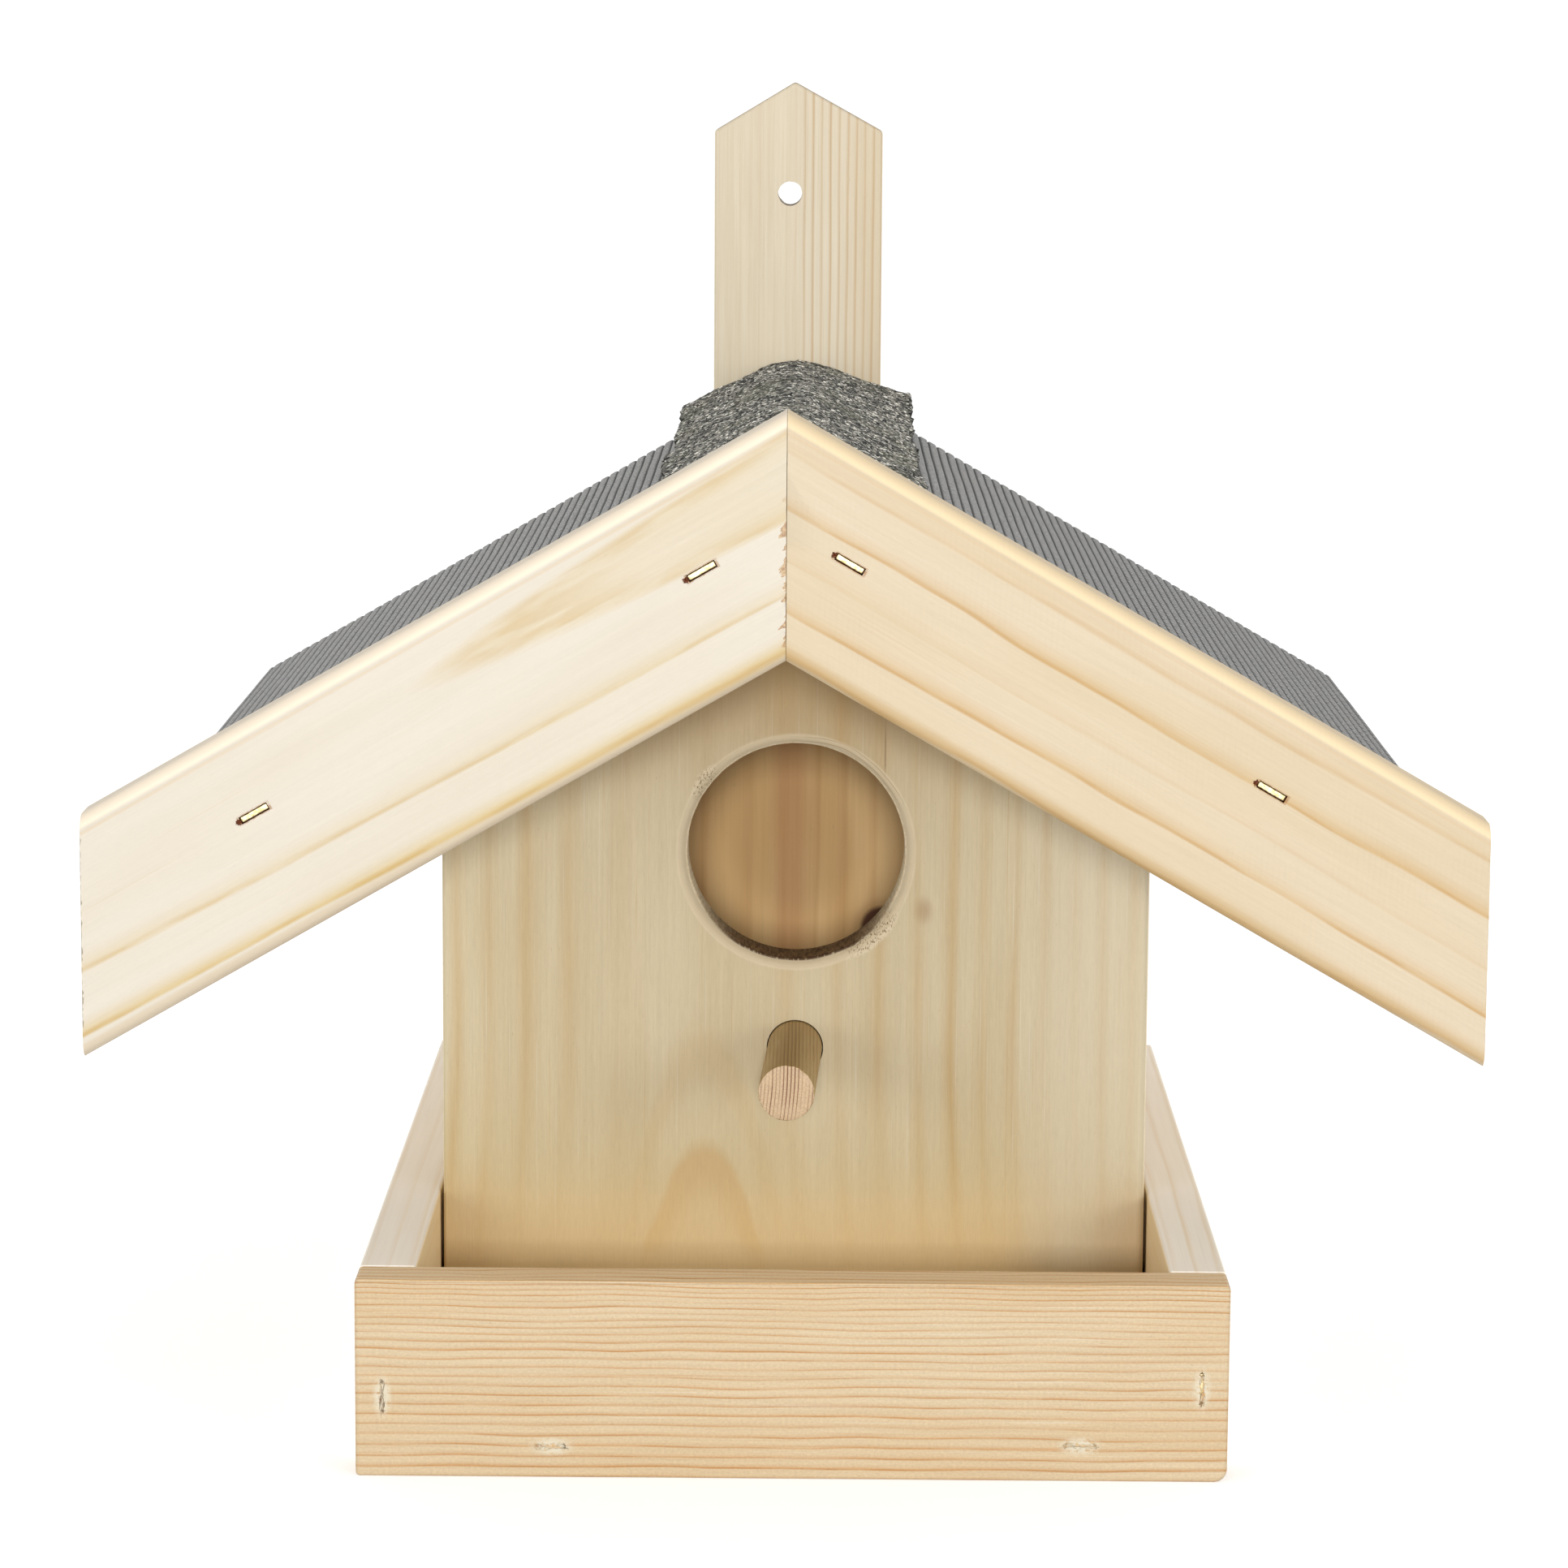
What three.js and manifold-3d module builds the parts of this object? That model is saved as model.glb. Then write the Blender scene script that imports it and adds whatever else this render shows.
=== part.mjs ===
// Hanging birdhouse with a feeding tray: a nest box of softwood boards that stands in a low tray,
// under a felted saddle roof with two gable boards, on a batten with a hole to hang it by.
//
// Units are millimetres. +Z is up, +Y runs from the front to the back and +X to the right as seen
// from the front. The origin is the middle of the tray's underside.

import * as THREE from 'three';
import { mergeVertices } from 'three/addons/utils/BufferGeometryUtils.js';
import Module from 'manifold-3d';

const wasm = await Module();
wasm.setup();

// ---- Driving dimensions ----

const boardThickness = 10;      // every flat board of the house, tray and roof
const houseWidth = 130;         // outside, over the side walls
const houseDepth = 135;         // outside, front panel face to rear wall face
const wallHeight = 117.6;       // side walls, from the tray base to their low outer edge
const porchDepth = 55;          // feeding space between the tray front and the front panel
const trayHeight = 35;
const trayClearance = 0.6;      // between the house and each tray side

const roofPitch = THREE.MathUtils.degToRad(30);
const eaveOverhang = 47.5;      // level, from a side wall's face to the felt's edge
const roofOverhang = 78;        // from the front panel's face to the back of the gable boards

const feltThickness = 1.2;
const feltReturn = 14;          // strip of felt folded back under each eave
const ridgeStripWidth = 47;
const ridgeStripThickness = 1.6;
const ridgeStripPitch = THREE.MathUtils.degToRad(25.5);  // flatter than the roof, so its edges lift

const gableWidth = 35.5;        // across the board
const gableProud = 7;           // how far the gable boards rise above the felt
const gableEndOverhang = 4;     // level, past the felt's edge
const gableOffset = -1.7;       // the pair sits a little to the left of the middle
const gableRound = 3;           // rounded long edges on the show face

const entranceRadius = 20;
const entranceFlare = 1.1;      // break of the entrance's front edge
const entranceHeight = 99.2;    // centre above the ground
const perchRadius = 5;
const perchLength = 38.4;       // clear of the front panel
const perchDepth = 8;           // held in the front panel
const perchHeight = 62.6;
const perchSkew = THREE.MathUtils.degToRad(2);

const battenWidth = 34.7;
const battenThickness = 10;
const battenRise = 48.4;        // batten shoulders above the roof's ridge line
const battenOffset = -0.8;
const battenPointOffset = -0.8; // the pointed top is a little off the batten's middle
const hangingHoleRadius = 2.5;
const hangingHoleDrop = 12.8;   // below the batten's shoulders
const hangingHoleOffset = -1.7; // from the batten's middle

const crownLength = 5.2;        // staples: over the crown
const wireWidth = 1.2;
const wireThickness = 0.9;
const legLength = 18;
const stapleSink = 0.5;         // crowns are driven this far below the surface

const clearance = 0.3;          // round staples and the perch, and at sloping faces
const circleSteps = 48;

// ---- Derived places ----

const halfHouse = houseWidth / 2;
const trayInnerHalf = halfHouse + trayClearance;
const trayOuterHalf = trayInnerHalf + boardThickness;
const trayInnerLength = porchDepth + houseDepth;
const trayLength = trayInnerLength + boardThickness;
const frontY = -trayLength / 2;
const backY = trayLength / 2;
const panelY = backY - houseDepth;
const floorZ = boardThickness;
const eaveWallZ = floorZ + wallHeight;

const slopeOf = Math.tan(roofPitch);
const roofStack = feltThickness + clearance + boardThickness + clearance;
const ridgeZ = eaveWallZ + halfHouse * slopeOf + roofStack / Math.cos(roofPitch);
const roofHalfSpan = halfHouse + eaveOverhang;
const roofFrontY = panelY - roofOverhang;
const gableHalfSpan = roofHalfSpan + gableEndOverhang;

// ---- Materials ----

const softwood = new THREE.MeshStandardMaterial({ color: '#e3cfa8', roughness: 0.72, metalness: 0 });
const paleSoftwood = new THREE.MeshStandardMaterial({ color: '#f0e4cc', roughness: 0.7, metalness: 0 });
const ringedSoftwood = new THREE.MeshStandardMaterial({ color: '#e6c796', roughness: 0.74, metalness: 0 });
const dowelWood = new THREE.MeshStandardMaterial({ color: '#d8b98a', roughness: 0.7, metalness: 0 });
const ribbedFelt = new THREE.MeshStandardMaterial({ color: '#77787a', roughness: 0.95, metalness: 0 });
const mineralFelt = new THREE.MeshStandardMaterial({ color: '#7c7d76', roughness: 1, metalness: 0 });
const stapleWire = new THREE.MeshStandardMaterial({ color: '#c2a25a', roughness: 0.35, metalness: 1 });

// ---- Solids ----

const house = new THREE.Group();

function add(parent, name, geometry, material, x = 0, y = 0, z = 0) {
  const mesh = new THREE.Mesh(geometry, material.clone());
  mesh.name = name;
  mesh.position.set(x, y, z);
  parent.add(mesh);
  return mesh;
}

// A prism from an outline in X and Z, from y = 0 back to y = depth.
function prism(outline, depth) {
  const shape = outline instanceof THREE.Shape
    ? outline
    : new THREE.Shape(outline.map(([x, z]) => new THREE.Vector2(x, z)));
  const geometry = new THREE.ExtrudeGeometry(shape, { depth, bevelEnabled: false, curveSegments: circleSteps / 2 });
  return geometry.rotateX(Math.PI / 2).translate(0, depth, 0);
}

function toSolid(geometry) {
  const bare = new THREE.BufferGeometry();
  bare.setAttribute('position', geometry.getAttribute('position').clone());
  if (geometry.index) bare.setIndex(geometry.index.clone());
  const merged = mergeVertices(bare);
  const index = merged.index.array;
  const kept = [];
  for (let i = 0; i < index.length; i += 3) {
    const [a, b, c] = [index[i], index[i + 1], index[i + 2]];
    if (a !== b && b !== c && c !== a) kept.push(a, b, c);
  }
  return new wasm.Manifold(new wasm.Mesh({
    numProp: 3,
    vertProperties: Float32Array.from(merged.getAttribute('position').array),
    triVerts: Uint32Array.from(kept),
  }));
}

function toGeometry(solid) {
  const mesh = solid.getMesh();
  const geometry = new THREE.BufferGeometry();
  geometry.setAttribute('position', new THREE.BufferAttribute(mesh.vertProperties, 3));
  geometry.setIndex(new THREE.BufferAttribute(mesh.triVerts, 1));
  return geometry;
}

// Cuts a tool's shape out of a board; the tool stands where the object `placed` stands.
function cut(board, tool, placed) {
  board.updateWorldMatrix(true, false);
  placed.updateWorldMatrix(true, false);
  const toolInBoard = tool.clone()
    .applyMatrix4(placed.matrixWorld)
    .applyMatrix4(board.matrixWorld.clone().invert());
  board.geometry = toGeometry(toSolid(board.geometry).subtract(toSolid(toolInBoard)));
}

// A group tilted to one side of the roof. Its X axis runs along the slope, its Z axis stands square
// to it, and the plane z = 0 is the top of the felt. `side` is -1 on the left and 1 on the right.
function slopeGroup(side, x = 0) {
  const group = new THREE.Group();
  group.position.set(x, 0, ridgeZ);
  group.rotation.y = side * roofPitch;
  house.add(group);
  return group;
}

// Distance along the slope at which a plumb cut `level` mm out from the ridge meets height z.
function plumb(level, z) {
  return (level - z * Math.sin(roofPitch)) / Math.cos(roofPitch);
}

function onSide(side, outline) {
  return outline.map(([x, z]) => [side * x, z]);
}

// ---- Tray ----

function makeTray() {
  const base = add(house, 'tray_base',
    new THREE.BoxGeometry(2 * trayInnerHalf, trayInnerLength, boardThickness), softwood,
    0, frontY + boardThickness + trayInnerLength / 2, boardThickness / 2);
  const front = add(house, 'tray_front',
    new THREE.BoxGeometry(2 * trayOuterHalf, boardThickness, trayHeight), ringedSoftwood,
    0, frontY + boardThickness / 2, trayHeight / 2);
  const sides = [-1, 1].map((side) => add(house, side < 0 ? 'tray_side_left' : 'tray_side_right',
    new THREE.BoxGeometry(boardThickness, trayInnerLength, trayHeight), paleSoftwood,
    side * (trayInnerHalf + boardThickness / 2), base.position.y, trayHeight / 2));
  return { base, front, sides };
}

// ---- Nest box ----

function gableOutline() {
  return [
    [-halfHouse, floorZ],
    [halfHouse, floorZ],
    [halfHouse, eaveWallZ],
    [0, eaveWallZ + halfHouse * slopeOf],
    [-halfHouse, eaveWallZ],
  ];
}

function makeFrontPanel() {
  const panel = add(house, 'front_panel', prism(gableOutline(), boardThickness), softwood, 0, panelY);
  const entrance = new THREE.Group();
  entrance.position.set(0, panelY, entranceHeight);
  const bore = new THREE.CylinderGeometry(entranceRadius, entranceRadius, 4 * boardThickness, circleSteps);
  cut(panel, bore, entrance);
  const flare = new THREE.CylinderGeometry(entranceRadius, entranceRadius + 2 * entranceFlare,
    2 * entranceFlare, circleSteps);
  cut(panel, flare, entrance);
  return panel;
}

function makeRearWall() {
  return add(house, 'rear_wall', prism(gableOutline(), boardThickness), softwood,
    0, backY - boardThickness);
}

function makeSideWall(side) {
  const inner = halfHouse - boardThickness;
  const outline = onSide(side, [
    [inner, floorZ],
    [halfHouse, floorZ],
    [halfHouse, eaveWallZ],
    [inner, eaveWallZ + boardThickness * slopeOf],
  ]);
  return add(house, side < 0 ? 'side_wall_left' : 'side_wall_right',
    prism(outline, houseDepth - 2 * boardThickness), softwood, 0, panelY + boardThickness);
}

function makePerch(panel) {
  const aim = new THREE.Group();
  aim.position.set(0, panelY, perchHeight);
  aim.rotation.z = -perchSkew;
  house.add(aim);
  const length = perchLength + perchDepth;
  add(aim, 'perch', new THREE.CylinderGeometry(perchRadius, perchRadius, length, circleSteps / 2),
    dowelWood, 0, (perchDepth - perchLength) / 2, 0);
  const socketReach = perchDepth + clearance;
  const socket = new THREE.CylinderGeometry(perchRadius + clearance, perchRadius + clearance,
    2 * socketReach, circleSteps / 2);
  cut(panel, socket, aim);
}

// ---- Roof ----

function makeRoofSide(side) {
  const word = side < 0 ? 'left' : 'right';
  const group = slopeGroup(side);
  const length = backY - roofFrontY;
  const boardTop = -feltThickness - clearance;
  const boardBottom = boardTop - boardThickness;
  const feltEdge = plumb(roofHalfSpan, 0);
  const boardEdge = feltEdge - feltThickness - clearance;
  const mitre = clearance / 2;

  const board = add(group, `roof_board_${word}`, prism(onSide(side, [
    [plumb(mitre, boardTop), boardTop],
    [boardEdge, boardTop],
    [boardEdge, boardBottom],
    [plumb(mitre, boardBottom), boardBottom],
  ]), length), softwood, 0, roofFrontY);

  const feltBottom = boardBottom - clearance - feltThickness;
  add(group, `roof_felt_${word}`, prism(onSide(side, [
    [plumb(mitre, 0), 0],
    [feltEdge, 0],
    [feltEdge, feltBottom],
    [feltEdge - feltReturn, feltBottom],
    [feltEdge - feltReturn, feltBottom + feltThickness],
    [feltEdge - feltThickness, feltBottom + feltThickness],
    [feltEdge - feltThickness, -feltThickness],
    [plumb(mitre, -feltThickness), -feltThickness],
  ]), length), ribbedFelt, 0, roofFrontY);

  return { group, board, boardTop };
}

function makeRidgeStrip() {
  const half = ridgeStripWidth / 2;
  const fall = half * Math.tan(ridgeStripPitch);
  const rise = ridgeStripThickness / Math.cos(ridgeStripPitch);
  const crownHalf = 4;
  const crownFall = crownHalf * Math.tan(ridgeStripPitch);
  const shape = new THREE.Shape();
  shape.moveTo(-half, -fall);
  shape.lineTo(0, 0);
  shape.lineTo(half, -fall);
  shape.lineTo(half, -fall + rise);
  shape.lineTo(crownHalf, -crownFall + rise);
  shape.quadraticCurveTo(0, rise, -crownHalf, -crownFall + rise);
  shape.lineTo(-half, -fall + rise);
  shape.closePath();
  const length = backY - roofFrontY - clearance;
  add(house, 'ridge_felt', prism(shape, length), mineralFelt,
    0, roofFrontY + clearance, ridgeZ + clearance);
}

function makeGableBoard(side) {
  const group = slopeGroup(side, gableOffset);
  const top = gableProud;
  const bottom = gableProud - gableWidth;
  const reach = 2 * gableHalfSpan;

  // The board's section, looking along it: local X is the depth from the show face back, Y is height.
  const section = new THREE.Shape();
  section.moveTo(boardThickness, bottom);
  section.lineTo(boardThickness, top);
  section.lineTo(gableRound, top);
  section.absarc(gableRound, top - gableRound, gableRound, Math.PI / 2, Math.PI, false);
  section.lineTo(0, bottom + gableRound);
  section.absarc(gableRound, bottom + gableRound, gableRound, Math.PI, 1.5 * Math.PI, false);
  section.closePath();
  const stock = new THREE.ExtrudeGeometry(section, { depth: 2 * reach, bevelEnabled: false, curveSegments: 6 });
  const axes = new THREE.Matrix4().makeBasis(
    new THREE.Vector3(0, 1, 0), new THREE.Vector3(0, 0, 1), new THREE.Vector3(1, 0, 0));
  stock.applyMatrix4(axes).translate(-reach, 0, 0);

  // Both ends are cut plumb: the mitre at the ridge and the outer end.
  const mitre = clearance / 2;
  const spare = gableWidth;
  const ends = prism(onSide(side, [
    [plumb(mitre, top + spare), top + spare],
    [plumb(gableHalfSpan, top + spare), top + spare],
    [plumb(gableHalfSpan, bottom - spare), bottom - spare],
    [plumb(mitre, bottom - spare), bottom - spare],
  ]), 3 * boardThickness).translate(0, -boardThickness, 0);

  const geometry = toGeometry(toSolid(stock).intersect(toSolid(ends)));
  const board = add(group, side < 0 ? 'gable_board_left' : 'gable_board_right', geometry,
    side < 0 ? paleSoftwood : softwood, 0, roofFrontY - boardThickness);
  return { group, board };
}

// ---- Hanging batten ----

function makeBatten() {
  const half = battenWidth / 2;
  const shoulderZ = ridgeZ + battenRise;
  const shape = new THREE.Shape();
  shape.moveTo(-half, 0);
  shape.lineTo(half, 0);
  shape.lineTo(half, shoulderZ);
  shape.lineTo(battenPointOffset, shoulderZ + half * slopeOf);
  shape.lineTo(-half, shoulderZ);
  shape.closePath();
  const hole = new THREE.Path();
  hole.absarc(hangingHoleOffset, shoulderZ - hangingHoleDrop, hangingHoleRadius, 0, 2 * Math.PI, true);
  shape.holes.push(hole);
  return add(house, 'hanging_batten', prism(shape, battenThickness), softwood, battenOffset, backY);
}

// ---- Staples ----

// A staple's own frame: the crown lies along X with its outer face at y = 0, and the legs run to +Y.
function stapleOutline(grow, mouth) {
  const outer = crownLength / 2 + grow;
  const inner = crownLength / 2 - wireThickness - grow;
  const tip = legLength + grow;
  return new THREE.Shape([
    [-outer, -mouth], [outer, -mouth], [outer, tip], [inner, tip],
    [inner, wireThickness + grow], [-inner, wireThickness + grow], [-inner, tip], [-outer, tip],
  ].map(([x, y]) => new THREE.Vector2(x, y)));
}

function stapleGeometry(grow, mouth) {
  const depth = wireWidth + 2 * grow;
  const geometry = new THREE.ExtrudeGeometry(stapleOutline(grow, mouth), { depth, bevelEnabled: false });
  return geometry.translate(0, 0, -depth / 2);
}

const stapleShape = stapleGeometry(0, 0);
const stapleSlot = stapleGeometry(clearance, stapleSink + 1);

// Drives a staple at a place on a surface and cuts its slot in the boards that it joins.
// `legs` turns the legs from +Y to the way they are driven; `turn` then spins the crown on the legs.
function drive(parent, name, place, boards, { legs = [0, 0, 0], turn = 0 } = {}) {
  const aim = new THREE.Group();
  aim.position.set(...place);
  aim.rotation.set(...legs);
  parent.add(aim);
  const staple = add(aim, name, stapleShape.clone(), stapleWire, 0, stapleSink, 0);
  staple.rotation.y = turn;
  for (const board of boards) cut(board, stapleSlot, staple);
}

const quarter = Math.PI / 2;
const upward = [quarter, 0, 0];
const downward = [-quarter, 0, 0];
const forward = [0, 0, Math.PI];
const towardsMiddle = (side) => [0, 0, side * quarter];

function stapleTray(tray, panel, rear) {
  // Seen on the tray front: one staple in each side board's end and one on each side in the base.
  const endInset = boardThickness / 2 - 0.3;
  const endDrops = [-3.2, -0.8];
  const baseInsets = [34.1, 25.6];
  const baseLifts = [0.6, 1.4];
  for (const [i, side] of [-1, 1].entries()) {
    const word = side < 0 ? 'left' : 'right';
    drive(house, `tray_front_staple_${word}_end`,
      [side * (trayOuterHalf - endInset), frontY, trayHeight / 2 + endDrops[i]],
      [tray.front, tray.sides[i]], { turn: quarter });
    drive(house, `tray_front_staple_${word}_base`,
      [side * (trayOuterHalf - baseInsets[i]), frontY, boardThickness / 2 + baseLifts[i]],
      [tray.front, tray.base]);

    // Each tray side is stapled to the edge of the base near both ends.
    const sideInset = 38;
    for (const [end, y] of [['front', frontY + sideInset], ['rear', backY - sideInset]]) {
      drive(house, `tray_side_staple_${word}_${end}`,
        [side * trayOuterHalf, y, boardThickness / 2],
        [tray.sides[i], tray.base], { legs: towardsMiddle(side), turn: 0 });
    }

    // The front panel and the rear wall are stapled from below, through the base.
    const wallInset = 27;
    for (const [end, y, wall] of [['front', panelY, panel], ['rear', backY - boardThickness, rear]]) {
      drive(house, `base_staple_${word}_${end}`,
        [side * (halfHouse - wallInset), y + boardThickness / 2, 0],
        [tray.base, wall], { legs: upward });
    }
  }
}

function stapleHouse(rear, sideWalls, roof, panel) {
  for (const [i, side] of [-1, 1].entries()) {
    const word = side < 0 ? 'left' : 'right';

    // The rear wall is stapled to the ends of the side walls.
    const lowest = 42;
    const spacing = 60;
    for (const [end, z] of [['lower', lowest], ['upper', lowest + spacing]]) {
      drive(house, `rear_wall_staple_${word}_${end}`,
        [side * (halfHouse - boardThickness / 2), backY, z],
        [rear, sideWalls[i]], { legs: forward, turn: quarter });
    }

    // Each roof board is stapled to the sloping tops of the front panel and the rear wall.
    const { group, board, boardTop } = roof[i];
    const alongSlope = plumb(halfHouse / 2, 0);
    for (const [end, y, wall] of [['front', panelY, panel], ['rear', backY - boardThickness, rear]]) {
      drive(group, `roof_staple_${word}_${end}`,
        [side * alongSlope, y + boardThickness / 2, boardTop],
        [board, wall], { legs: downward });
    }
  }
}

function stapleGableBoards(gables, roof) {
  // Seen on each gable board: one staple near the mitre and one near the outer end. Each pair of
  // numbers is the distance from that end of the board and the drop below the roof board's middle.
  const places = [
    { upper: [20.9, 2.0], lower: [29.4, 0.4] },
    { upper: [17.3, 2.6], lower: [38.2, -0.1] },
  ];
  const roofBoardMiddle = -feltThickness - clearance - boardThickness / 2;
  for (const [i, side] of [-1, 1].entries()) {
    const word = side < 0 ? 'left' : 'right';
    const { group, board } = gables[i];
    for (const [end, [inset, drop]] of Object.entries(places[i])) {
      const along = end === 'upper' ? inset : plumb(gableHalfSpan, 0) - inset;
      drive(group, `gable_staple_${word}_${end}`,
        [side * along, board.position.y, roofBoardMiddle - drop],
        [board, roof[i].board]);
    }
  }
}

function stapleBatten(batten, rear, base) {
  const places = [
    ['lower', boardThickness / 2, base],
    ['middle', floorZ + 55, rear],
    ['upper', floorZ + 115, rear],
  ];
  for (const [end, z, board] of places) {
    drive(house, `batten_staple_${end}`, [battenOffset, backY + battenThickness, z],
      [batten, board], { legs: forward });
  }
}

// ---- Assembly ----

const tray = makeTray();
const panel = makeFrontPanel();
const rear = makeRearWall();
const sideWalls = [-1, 1].map(makeSideWall);
makePerch(panel);
const roof = [-1, 1].map(makeRoofSide);
makeRidgeStrip();
const gables = [-1, 1].map(makeGableBoard);
const batten = makeBatten();

stapleTray(tray, panel, rear);
stapleHouse(rear, sideWalls, roof, panel);
stapleGableBoards(gables, roof);
stapleBatten(batten, rear, tray.base);

export default house;
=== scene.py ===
"""The looks of a hanging birdhouse with a feeding tray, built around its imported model."""

import math
import random
from contextlib import contextmanager

import bpy
from mathutils import Matrix, Vector, noise


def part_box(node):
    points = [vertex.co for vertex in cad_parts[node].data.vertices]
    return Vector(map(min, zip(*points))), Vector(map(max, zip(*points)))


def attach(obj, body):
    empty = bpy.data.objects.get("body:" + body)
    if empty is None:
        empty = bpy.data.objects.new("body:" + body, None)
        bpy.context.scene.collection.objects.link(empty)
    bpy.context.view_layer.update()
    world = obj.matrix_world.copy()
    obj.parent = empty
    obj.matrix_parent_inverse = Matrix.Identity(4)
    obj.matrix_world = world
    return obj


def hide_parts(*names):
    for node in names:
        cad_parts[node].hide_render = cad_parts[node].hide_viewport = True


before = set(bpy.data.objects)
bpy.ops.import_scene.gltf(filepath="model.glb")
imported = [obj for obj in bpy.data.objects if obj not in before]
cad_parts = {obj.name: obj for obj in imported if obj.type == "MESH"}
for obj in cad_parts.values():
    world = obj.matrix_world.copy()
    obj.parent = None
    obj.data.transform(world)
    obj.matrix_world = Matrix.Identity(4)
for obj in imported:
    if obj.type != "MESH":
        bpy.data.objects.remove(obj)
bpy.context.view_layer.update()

# ---- Sizes that the boxes of the nodes don't tell, in millimetres ----

PITCH = math.radians(30)
GABLE_MITRE_X = -1.7
GABLE_ROUND = 3.0
MITRE_GAP = 0.3
ENTRANCE_RADIUS = 20.0
ENTRANCE_HEIGHT = 99.2
PERCH_RADIUS = 5.0
PERCH_HEIGHT = 62.6
PERCH_DEPTH = 8.0
PERCH_SKEW = math.radians(2)
HANGING_HOLE = (-2.5, 214.36)
HANGING_HOLE_RADIUS = 2.5
FELT_THICKNESS = 1.2
FELT_RETURN = 14.0
RIB_PITCH = 2.2
BOARD = 10.0  # the thickness of the boards
SEAT_GAP = 0.05  # between a staple and its seat
GABLE_GAP = 0.08  # between the two gable boards
STAPLE_SUNK = 0.45  # how much deeper the tray front's staples sit
FLOOR_GLOW = 0.34
TENT_GLOW = 0.8
STUDIO_GAIN = 1.98  # how much brighter the studio shows a surface that faces the camera
LENS = 111.80124  # on a sensor 36 mm wide
HAND = {-1: "left", 1: "right"}


def mm(*values):
    return tuple(value / 1000 for value in values)


def box_mm(node):
    """A node's lowest and highest corner in millimetres."""
    low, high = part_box(node)
    return Vector(low) * 1000, Vector(high) * 1000


def crown(node, y=None):
    """The middle of a staple's crown, on the plane y of the board's face if it is given."""
    low, high = box_mm(node)
    return Vector(((low.x + high.x) / 2, low.y if y is None else y, (low.z + high.z) / 2))


FRONT_Y = box_mm("gable_board_left")[0].y
ROOF_FRONT_Y = box_mm("roof_felt_left")[0].y
BACK_Y = box_mm("roof_felt_left")[1].y
PANEL_Y = box_mm("front_panel")[0].y
RIDGE_Z = box_mm("roof_felt_left")[1].z + MITRE_GAP / 2 * math.tan(PITCH)
EAVE_X = box_mm("roof_felt_right")[1].x
WALL_TOP_Z = box_mm("front_panel")[1].z
HALF_HOUSE = box_mm("front_panel")[1].x
GABLE_TOP_Z = box_mm("gable_board_left")[1].z
GABLE_PROUD = (GABLE_TOP_Z - RIDGE_Z) * math.cos(PITCH) + MITRE_GAP / 2 * math.sin(PITCH)
GABLE_WIDTH = 35.5


# ---- Workshop: how a piece is cut, eased and fitted ----


def pick(piece):
    """Makes one piece the only selected one."""
    bpy.ops.object.select_all(action="DESELECT")
    piece.select_set(True)
    bpy.context.view_layer.objects.active = piece


def settle(piece, name):
    """Names a new piece and puts its place into its mesh."""
    piece.name = name
    piece.data.name = name
    pick(piece)
    bpy.ops.object.transform_apply(location=True, rotation=True, scale=True)
    return piece


def plank(name, low, high, turn=0.0, pivot=(0, 0, 0)):
    """A sawn board between two corners, then turned about the Y axis through the pivot."""
    bpy.ops.object.select_all(action="DESELECT")
    middle = [(a + b) / 2 for a, b in zip(low, high)]
    bpy.ops.mesh.primitive_cube_add(size=1, location=mm(*middle))
    board = bpy.context.object
    board.scale = mm(*[b - a for a, b in zip(low, high)])
    settle(board, name)
    if turn:
        board.rotation_euler = (0, turn, 0)
        board.location = mm(*pivot)
        settle(board, name)
    return board


@contextmanager
def editing():
    """Edit mode for a block of steps."""
    bpy.ops.object.mode_set(mode="EDIT")
    yield
    bpy.ops.object.mode_set(mode="OBJECT")


@contextmanager
def editing_all(piece):
    """Edit mode for a block of steps that work on the whole of a piece."""
    pick(piece)
    with editing():
        bpy.ops.mesh.select_all(action="SELECT")
        yield


def begin_edit(piece, kind):
    """Readies a piece for choosing its edges or faces: none is selected."""
    pick(piece)
    with editing():
        bpy.ops.mesh.select_mode(type=kind)
        bpy.ops.mesh.select_all(action="DESELECT")


def round_edges(piece, radius, wanted, steps=3):
    """Rounds the edges for which wanted(middle, direction) holds, both in millimetres."""
    begin_edit(piece, "EDGE")
    points = [vert.co * 1000 for vert in piece.data.vertices]
    for edge in piece.data.edges:
        a, b = (points[i] for i in edge.vertices)
        edge.select = bool(wanted((a + b) / 2, (b - a).normalized()))
    with editing():
        bpy.ops.mesh.bevel(offset=radius / 1000, segments=steps, profile=0.5, affect="EDGES")


def saw(piece, point, normal):
    """Cuts the piece at a plane and drops the side that the normal points to."""
    with editing_all(piece):
        bpy.ops.mesh.bisect(plane_co=mm(*point), plane_no=normal, use_fill=True, clear_outer=True)


def score(piece, point, normal):
    """Marks a line round the piece where a plane meets it."""
    with editing_all(piece):
        bpy.ops.mesh.bisect(plane_co=mm(*point), plane_no=normal)


def apply_modifier(piece, modifier):
    pick(piece)
    bpy.ops.object.modifier_apply(modifier=modifier.name)


def ease(piece, radius, steps=2):
    """Takes the sharpness off every arris."""
    modifier = piece.modifiers.new("eased edges", "BEVEL")
    modifier.width = radius / 1000
    modifier.segments = steps
    modifier.limit_method = "ANGLE"
    modifier.angle_limit = math.radians(30)
    apply_modifier(piece, modifier)


def carve(piece, cutter):
    """Cuts the cutter's shape out of the piece and throws the cutter away."""
    modifier = piece.modifiers.new("cut", "BOOLEAN")
    modifier.operation = "DIFFERENCE"
    modifier.solver = "EXACT"
    modifier.object = cutter
    apply_modifier(piece, modifier)
    bpy.data.objects.remove(cutter)


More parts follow.
